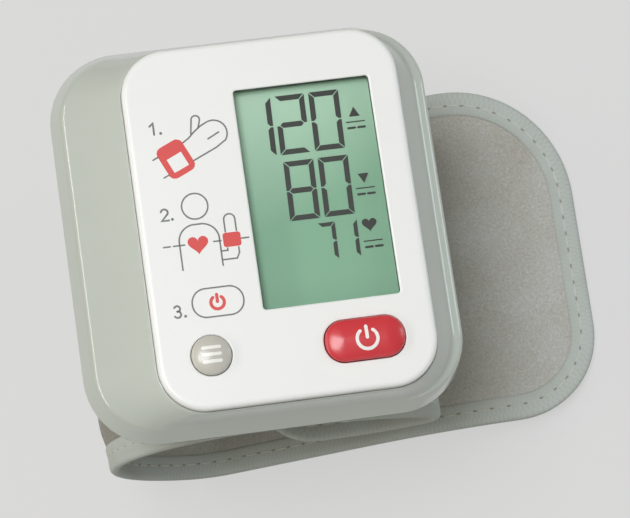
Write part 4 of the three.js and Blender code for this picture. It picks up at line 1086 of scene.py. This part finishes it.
def reach(distance, by, side):
    """How far the cuff goes across on one side, for an edge set in from the outline."""
    drawn = 0
    for left, corners in ((distance - TAIL_END, TAIL_CORNER), (FLAP_END - distance, FLAP_CORNER)):
        radius = corners[side] - by
        short = max(radius - (left - by), 0)
        drawn = max(drawn, radius - math.sqrt(max(radius * radius - short * short, 0)))
    return CUFF_HALF - by - drawn


def stops(first, last, step):
    count = max(1, math.ceil(abs(last - first) / step))
    return [first + (last - first) * i / count for i in range(count + 1)]


# How far in from the cuff's edge the body ends, under the tape, and how far it lies below the tape's face
UNDER_TAPE, BELOW_TAPE = 1.6, 0.34
# The run of the body's swell, and how far under the tape it starts
PILLOW, SWELL_START = 4.5, 0.6
# Soft waves of the padding: waves per millimetre along and across, a place in the noise, and the height
WAVES = ((0.11, 0.11, 3.1, 0.12), (0.035, 0.05, 8.7, 0.3))
# Steps along the body, along the tape, across the end and round a corner, and how columns crowd to the edges
BODY_STEP, TAPE_STEP, END_STEP, BEND_STEPS = 1.4, 1.6, 2.5, 18
CROWDING = 0.85


def body_height(distance, y, tape, face):
    """Height of one face without the tape: thin under the tape, then a soft swell that rests flat outside."""
    depth = from_edge(distance, y)
    swell = eased((depth - tape + SWELL_START) / PILLOW)
    wave = sum(noise.noise(Vector((distance * along, y * across, place))) * height
               for along, across, place, height in WAVES)
    rise = BELOW_TAPE + (wave if face > 0 else -abs(wave))
    return face * (half_thickness(distance, y) - BELOW_TAPE + swell * rise)


def cuff_body(name, first, end, settings, materials):
    """The padded layers of a stretch of the cuff as one closed body, felt inside and cloth outside."""
    tape = settings.tape_width / MM
    way = 1 if end > first else -1
    corner = max((FLAP_CORNER if way > 0 else TAIL_CORNER).values())
    last = end - way * UNDER_TAPE
    bend = last - way * corner
    places = stops(first, bend, BODY_STEP)
    angles = [math.pi / 2 * step / BEND_STEPS for step in range(1, BEND_STEPS + 1)]
    places += [bend + way * corner * math.sin(angle) for angle in angles]
    columns = settings.columns
    bm = bmesh.new()
    uv = bm.loops.layers.uv.new("cloth")
    grids = []
    for face in (1, -1):
        grid = []
        for distance in places:
            low, high = -reach(distance, UNDER_TAPE, -1), reach(distance, UNDER_TAPE, 1)
            row = []
            for column in range(columns + 1):
                share = 2 * column / columns - 1
                y = (low + high) / 2 + (high - low) / 2 * math.copysign(abs(share) ** CROWDING, share)
                vertex = bm.verts.new(cuff_point(distance, y, body_height(distance, y, tape, face)))
                row.append((vertex, distance, y))
            grid.append(row)
        grids.append(grid)
    for index, grid in enumerate(grids):
        for a, b in zip(grid, grid[1:]):
            for i in range(columns):
                patch = (a[i], a[i + 1], b[i + 1], b[i])
                face = bm.faces.new([vertex for vertex, _, _ in patch])
                face.material_index = index
                for loop, (_, distance, y) in zip(face.loops, patch):
                    loop[uv].uv = (distance * MM, y * MM)
    top, bottom = [[[vertex for vertex, _, _ in row] for row in grid] for grid in grids]
    for i in range(len(places) - 1):
        for column in (0, columns):
            bm.faces.new((top[i][column], top[i + 1][column], bottom[i + 1][column], bottom[i][column]))
    for i in range(columns):
        for row in (0, -1):
            bm.faces.new((top[row][i], top[row][i + 1], bottom[row][i + 1], bottom[row][i]))
    return piece(name, bm, materials, 60)


def tape_points(first, end, by):
    """The places round a stretch's free edge at one inset, as distance along and place across."""
    corners = FLAP_CORNER if end > first else TAIL_CORNER
    way = 1 if end > first else -1

    def side_points(side):
        corner = corners[side]
        bend, radius = end - way * corner, corner - by
        points = [(mark, side * (CUFF_HALF - by)) for mark in stops(first, bend, TAPE_STEP)[:-1]]
        for step in range(BEND_STEPS + 1):
            angle = math.pi / 2 * step / BEND_STEPS
            points.append((bend + way * radius * math.sin(angle),
                           side * (CUFF_HALF - corner + radius * math.cos(angle))))
        return points

    across = stops(corners[-1] - CUFF_HALF, CUFF_HALF - corners[1], END_STEP)[1:-1]
    return [*side_points(-1), *[(end - way * by, y) for y in across], *reversed(side_points(1))]


# The tape's inner face: its height over the cuff's half thickness, and the fold as insets and sides
TAPE_INSIDE = -0.74
FOLD = ((1.2, -1), (0.7, 0), (1.2, 1))
# Least width of a face on the tape's own map, and the width of the last one
LEAST_WIDTH, LAST_WIDTH = 0.3, 1


def tape_profile(settings):
    """Half of the folded tape's outer section: inset from the edge, height over the cuff's half thickness."""
    wide, groove = settings.tape_width / MM, settings.stitch_inset / MM
    return [(wide, -BELOW_TAPE), (wide - 0.15, -0.12), (wide - 0.5, 0.0), (groove + 0.75, 0.0),
            (groove + 0.3, -0.04), (groove, -0.06), (groove - 0.3, -0.04), (groove - 0.75, 0.0),
            (1.1, -0.02), (0.55, -0.12), (0.2, -0.4), (0.04, -0.75)]


def cuff_tape(name, first, end, settings, material):
    """The folded tape round a stretch's free edge, with a groove under the stitches."""
    outer = tape_profile(settings)
    wide = outer[0][0]
    section = [(by, 1, rise) for by, rise in outer]
    section += [(by, -1, rise) for by, rise in reversed(outer)]
    section += [(by, side, TAPE_INSIDE) for by, side in ((wide, -1), *FOLD, (wide, 1))]
    lines = [tape_points(first, end, by) for by, _, _ in section]
    bm = bmesh.new()
    uv = bm.loops.layers.uv.new("cloth")
    rings = []
    for i in range(len(lines[0])):
        row = []
        for (_, side, rise), line in zip(section, lines):
            distance, y = line[i]
            height = side * (half_thickness(distance, y) + rise)
            row.append(bm.verts.new(cuff_point(distance, y, height)))
        rings.append(row)
    count, run = len(section), 0.0
    around = [0.0]
    for a, b in zip(section, section[1:]):
        around.append(around[-1] + max(LEAST_WIDTH, abs(a[0] - b[0])))
    around.append(around[-1] + LAST_WIDTH)
    for a, b in zip(rings, rings[1:]):
        ahead = run + (b[0].co - a[0].co).length
        for i in range(count):
            j = (i + 1) % count
            face = bm.faces.new((a[i], a[j], b[j], b[i]))
            for loop, (u, v) in zip(face.loops, ((run, around[i]), (run, around[i + 1]),
                                                 (ahead, around[i + 1]), (ahead, around[i]))):
                loop[uv].uv = (u * MM, v * MM)
        run = ahead
    bm.faces.new(rings[0])
    bm.faces.new(rings[-1])
    return piece(name, bm, [material], 50), run


# Thickness of the thread in millimetres, and how deep it lies in the tape inside (1) and outside (-1)
THREAD = 0.5
SUNK = {1: 0.15, -1: 0.24}


def stitch_tree(settings, thread, hole):
    """Threads laid end to end along a line, with a dark bead of painted shade for a needle hole between each
    two.
    """
    tree = bpy.data.node_groups.new("stitches", "GeometryNodeTree")
    tree.interface.new_socket("Geometry", in_out="INPUT", socket_type="NodeSocketGeometry")
    sizes = {"Pitch": settings.stitch_pitch, "Length": settings.stitch_length, "Thickness": THREAD * MM,
             "Hole": settings.hole_length}
    for name, size in sizes.items():
        socket = tree.interface.new_socket(name, in_out="INPUT", socket_type="NodeSocketFloat")
        socket.default_value = size
    tree.interface.new_socket("Geometry", in_out="OUTPUT", socket_type="NodeSocketGeometry")
    given = add_node(tree, "NodeGroupInput").outputs
    line = add_node(tree, "GeometryNodeMeshToCurve", {"Mesh": given["Geometry"]}).outputs[0]
    half = maths(tree, "MULTIPLY", given["Pitch"], 0.5)
    laid = add_node(tree, "GeometryNodeCurveToPoints", {"Curve": line, "Length": half}, mode="LENGTH")
    odd = maths(tree, "MODULO", add_node(tree, "GeometryNodeInputIndex").outputs[0], 2.0)
    even = maths(tree, "SUBTRACT", 1.0, odd)
    ball = add_node(tree, "GeometryNodeMeshUVSphere", {"Segments": 8, "Rings": 6, "Radius": 0.5})
    bead, thick = ball.outputs["Mesh"], given["Thickness"]
    parts = []
    for material, length, chosen in ((thread, given["Length"], even), (hole, given["Hole"], odd)):
        size = add_node(tree, "ShaderNodeCombineXYZ", {0: thick, 1: thick, 2: length})
        scaled = add_node(tree, "GeometryNodeInstanceOnPoints", {
            "Points": laid.outputs["Points"], "Selection": chosen, "Instance": bead,
            "Rotation": laid.outputs["Rotation"], "Scale": size.outputs[0]})
        real = add_node(tree, "GeometryNodeRealizeInstances", {"Geometry": scaled.outputs[0]})
        smooth = add_node(tree, "GeometryNodeSetShadeSmooth", {"Geometry": real.outputs[0]})
        parts.append(add_node(tree, "GeometryNodeSetMaterial", {"Geometry": smooth.outputs[0],
                                                                "Material": material}).outputs[0])
    joined = add_node(tree, "GeometryNodeJoinGeometry")
    for part in parts:
        tree.links.new(part, joined.inputs[0])
    add_node(tree, "NodeGroupOutput", {"Geometry": joined.outputs[0]})
    return tree


def cuff_stitches(name, first, end, settings, tree):
    """A row of stitches on each face of a stretch's tape."""
    by = settings.stitch_inset / MM
    bm = bmesh.new()
    for side, sunk in SUNK.items():
        row = [bm.verts.new(cuff_point(distance, y, side * (half_thickness(distance, y) - sunk)))
               for distance, y in tape_points(first, end, by)]
        for a, b in zip(row, row[1:]):
            bm.edges.new((a, b))
    mesh = bpy.data.meshes.new(name)
    bm.to_mesh(mesh)
    bm.free()
    mesh.transform(UNIT)
    line = link(name + "_line", mesh)
    laid = line.modifiers.new("Stitches", "NODES")
    laid.node_group = tree
    bpy.context.view_layer.update()
    threads = bpy.data.meshes.new_from_object(line.evaluated_get(bpy.context.evaluated_depsgraph_get()))
    bpy.data.objects.remove(line)
    threads.name = name
    return link(name, threads)


def rest_on_table(made):
    """The cuff's lowest places lie flat on the table."""
    for vertex in made.data.vertices:
        vertex.co.z = max(vertex.co.z, 0)


class MONITOR_OT_cuff(bpy.types.Operator):
    """Cuff of felt and cloth with a stitched edge tape, in a short end and a long end"""

    bl_idname = "monitor.cuff"
    bl_label = "Cuff"

    def execute(self, context):
        settings = context.scene.monitor_cuff
        felt = surface("cuff_felt", "felt", {"Colour": settings.felt_colour, "Shade": settings.felt_shade},
                       0.5, FELT_DEPTH, Roughness=0.95, Sheen_Weight=0.25)
        # The cloth's shade colour is painted shade between its threads
        cloth = surface("cuff_cloth", "woven", {"Colour": settings.cloth_colour,
                                                "Shade": darker(settings.cloth_colour, 0.6),
                                                "Threads per metre": 1500},
                        0.5, CLOTH_DEPTH, Roughness=0.92, Sheen_Weight=0.15)
        weave = surface("cuff_tape", "woven", {"Colour": settings.tape_colour,
                                               "Shade": settings.tape_shade,
                                               "Threads per metre": 2300, "Rib": 0.06},
                        0.2, TAPE_DEPTH, Roughness=0.85, Sheen_Weight=0.15)
        thread = plastic("cuff_thread", settings.thread_colour, 0.7, grain=6000, bump=0.4, tone=0.85)
        # Painted shade: the needle holes are dark beads
        hole = plastic("cuff_hole_shade", settings.hole_colour, 0.85, grain=6000, bump=0.2, tone=0.8)
        tree = stitch_tree(settings, thread, hole)
        ends = (
            ("short_end", TAIL_END, ["cuff_outer_cloth", "cuff_curl_plate", "cuff_bladder",
                                     "cuff_inner_cloth"], "cuff_binding"),
            ("long_end", FLAP_END, ["strap_outer_cloth", "strap_curl_plate", "strap_bladder",
                                    "strap_inner_cloth", "closing_pad"], "strap_binding"),
        )
        for name, end, layers, edge in ends:
            body = cuff_body(f"cuff_{name}", SEAM, end, settings, [felt, cloth])
            tape, length = cuff_tape(f"cuff_{name}_tape", SEAM, end, settings, weave)
            stitches = cuff_stitches(f"cuff_{name}_stitches", SEAM, end, settings, tree)
            for made, slot in ((body, "cuff_felt"), (tape, "cuff_tape"), (stitches, "cuff_tape")):
                rest_on_table(made)
                if name == "long_end":
                    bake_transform(made)
                else:
                    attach(made, "unit")
            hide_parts(*layers)
            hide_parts(edge)
        return {"FINISHED"}


# The photograph's view in the display's frame, with the camera's turns in radians
YAW, PITCH, ROLL = 0.10741, -0.19254, 0.14464
CAMERA_SHIFT = Vector((-6.45026, 7.62636, -536.30591))
LENS, SENSOR = 171.43, 36
# The floor's half size and its place just under the part, and the height that the lights aim at, in metres
FLOOR_HALF, FLOOR_DROP, AIM = 3, -0.0002, 0.04
# Power of the right light as a share of the front light's
RIGHT_SHARE = 1.8


class MONITOR_OT_stage(bpy.types.Operator):
    """Pale floor, soft studio light and the camera"""

    bl_idname = "monitor.stage"
    bl_label = "Stage"

    def execute(self, context):
        settings = context.scene.monitor_stage
        scene = context.scene
        turn = Matrix.Rotation(ROLL, 3, "Z") @ Matrix.Rotation(PITCH, 3, "X") @ Matrix.Rotation(YAW, 3, "Y")
        back = turn.transposed()
        camera = bpy.data.objects.new("camera", bpy.data.cameras.new("camera"))
        camera.data.lens = LENS
        camera.data.sensor_width = SENSOR
        camera.data.clip_start, camera.data.clip_end = 0.01, 20
        facing = UNIT.to_3x3() * (1 / MM) @ back
        camera.matrix_world = Matrix.Translation(UNIT @ (back @ -CAMERA_SHIFT)) @ facing.to_4x4()
        scene.collection.objects.link(camera)
        scene.camera = camera

        bm = bmesh.new()
        bmesh.ops.create_grid(bm, x_segments=8, y_segments=8, size=FLOOR_HALF)
        mesh = bpy.data.meshes.new("floor")
        bm.to_mesh(mesh)
        bm.free()
        paper = plastic("floor_paper", settings.floor_tone, 0.8, grain=1500, bump=0.05, tone=0.995)
        tree = paper.node_tree
        path = add_node(tree, "ShaderNodeLightPath").outputs
        direct = maths(tree, "MAXIMUM", path["Is Camera Ray"], path["Is Glossy Ray"])
        seen = maths(tree, "MAXIMUM", direct, path["Is Transmission Ray"])
        glow = add_node(tree, "ShaderNodeEmission", {"Color": settings.floor_colour})
        mixed = add_node(tree, "ShaderNodeMixShader", {
            0: maths(tree, "MULTIPLY", seen, settings.floor_glow),
            1: tree.nodes["Principled BSDF"].outputs[0], 2: glow.outputs[0]})
        tree.links.new(mixed.outputs[0], tree.nodes["Material Output"].inputs["Surface"])
        mesh.materials.append(paper)
        floor = link("floor", mesh)
        floor.location.z = FLOOR_DROP

        right_power = settings.edge_power * RIGHT_SHARE
        for name, power, tint, place, wide, high in (
            ("top_light", settings.top_power, settings.top_tint, (0.03, 0.08, 1.2), 0.5, 0.5),
            ("left_light", settings.left_power, settings.left_tint, (-0.8, 0.08, 0.75), 1.05, 0.1),
            ("right_light", right_power, settings.edge_tint, (0.96, 0.19, 0.24), 0.2, 0.44),
            ("front_light", settings.edge_power, settings.edge_tint, (0.35, -0.92, 0.6), 0.8, 0.06),
        ):
            lamp = bpy.data.lights.new(name, "AREA")
            lamp.energy = power
            lamp.color = tint[:3]
            lamp.shape = "RECTANGLE"
            lamp.size, lamp.size_y = wide, high
            made = bpy.data.objects.new(name, lamp)
            made.location = place
            aim = Vector((0, 0, AIM)) - Vector(place)
            made.rotation_euler = aim.to_track_quat("-Z", "Y").to_euler()
            scene.collection.objects.link(made)
        world = bpy.data.worlds.new("studio")
        world.use_nodes = True
        sky = world.node_tree.nodes["Background"]
        sky.inputs["Color"].default_value = settings.sky_tint
        sky.inputs["Strength"].default_value = settings.sky
        scene.world = world
        scene.view_settings.view_transform = "Standard"
        return {"FINISHED"}


OPERATORS = (
    MONITOR_OT_stage,
    MONITOR_OT_front_panel,
    MONITOR_OT_upper_housing,
    MONITOR_OT_rear_housing,
    MONITOR_OT_inner_parts,
    MONITOR_OT_display,
    MONITOR_OT_buttons,
    MONITOR_OT_panel_print,
    MONITOR_OT_cuff,
)
SETTINGS = {
    "monitor_housing": HousingSettings,
    "monitor_display": DisplaySettings,
    "monitor_buttons": ButtonSettings,
    "monitor_print": PrintSettings,
    "monitor_cuff": CuffSettings,
    "monitor_stage": StageSettings,
}


class MONITOR_PT_pieces(bpy.types.Panel):
    """Lists the monitor's pieces in the sidebar"""

    bl_idname = "MONITOR_PT_pieces"
    bl_label = "Wrist blood pressure monitor"
    bl_space_type = "VIEW_3D"
    bl_region_type = "UI"
    bl_category = "Monitor"

    def draw(self, context):
        for operator in OPERATORS:
            self.layout.operator(operator.bl_idname)


def register():
    for made in (*SETTINGS.values(), *OPERATORS, MONITOR_PT_pieces):
        bpy.utils.register_class(made)
    for name, made in SETTINGS.items():
        setattr(bpy.types.Scene, name, PointerProperty(type=made))


def unregister():
    for name in SETTINGS:
        delattr(bpy.types.Scene, name)
    for made in (MONITOR_PT_pieces, *reversed(OPERATORS), *reversed(SETTINGS.values())):
        bpy.utils.unregister_class(made)


def main():
    register()
    for operator in OPERATORS:
        group, name = operator.bl_idname.split(".")
        getattr(getattr(bpy.ops, group), name)()


if __name__ == "__main__":
    main()
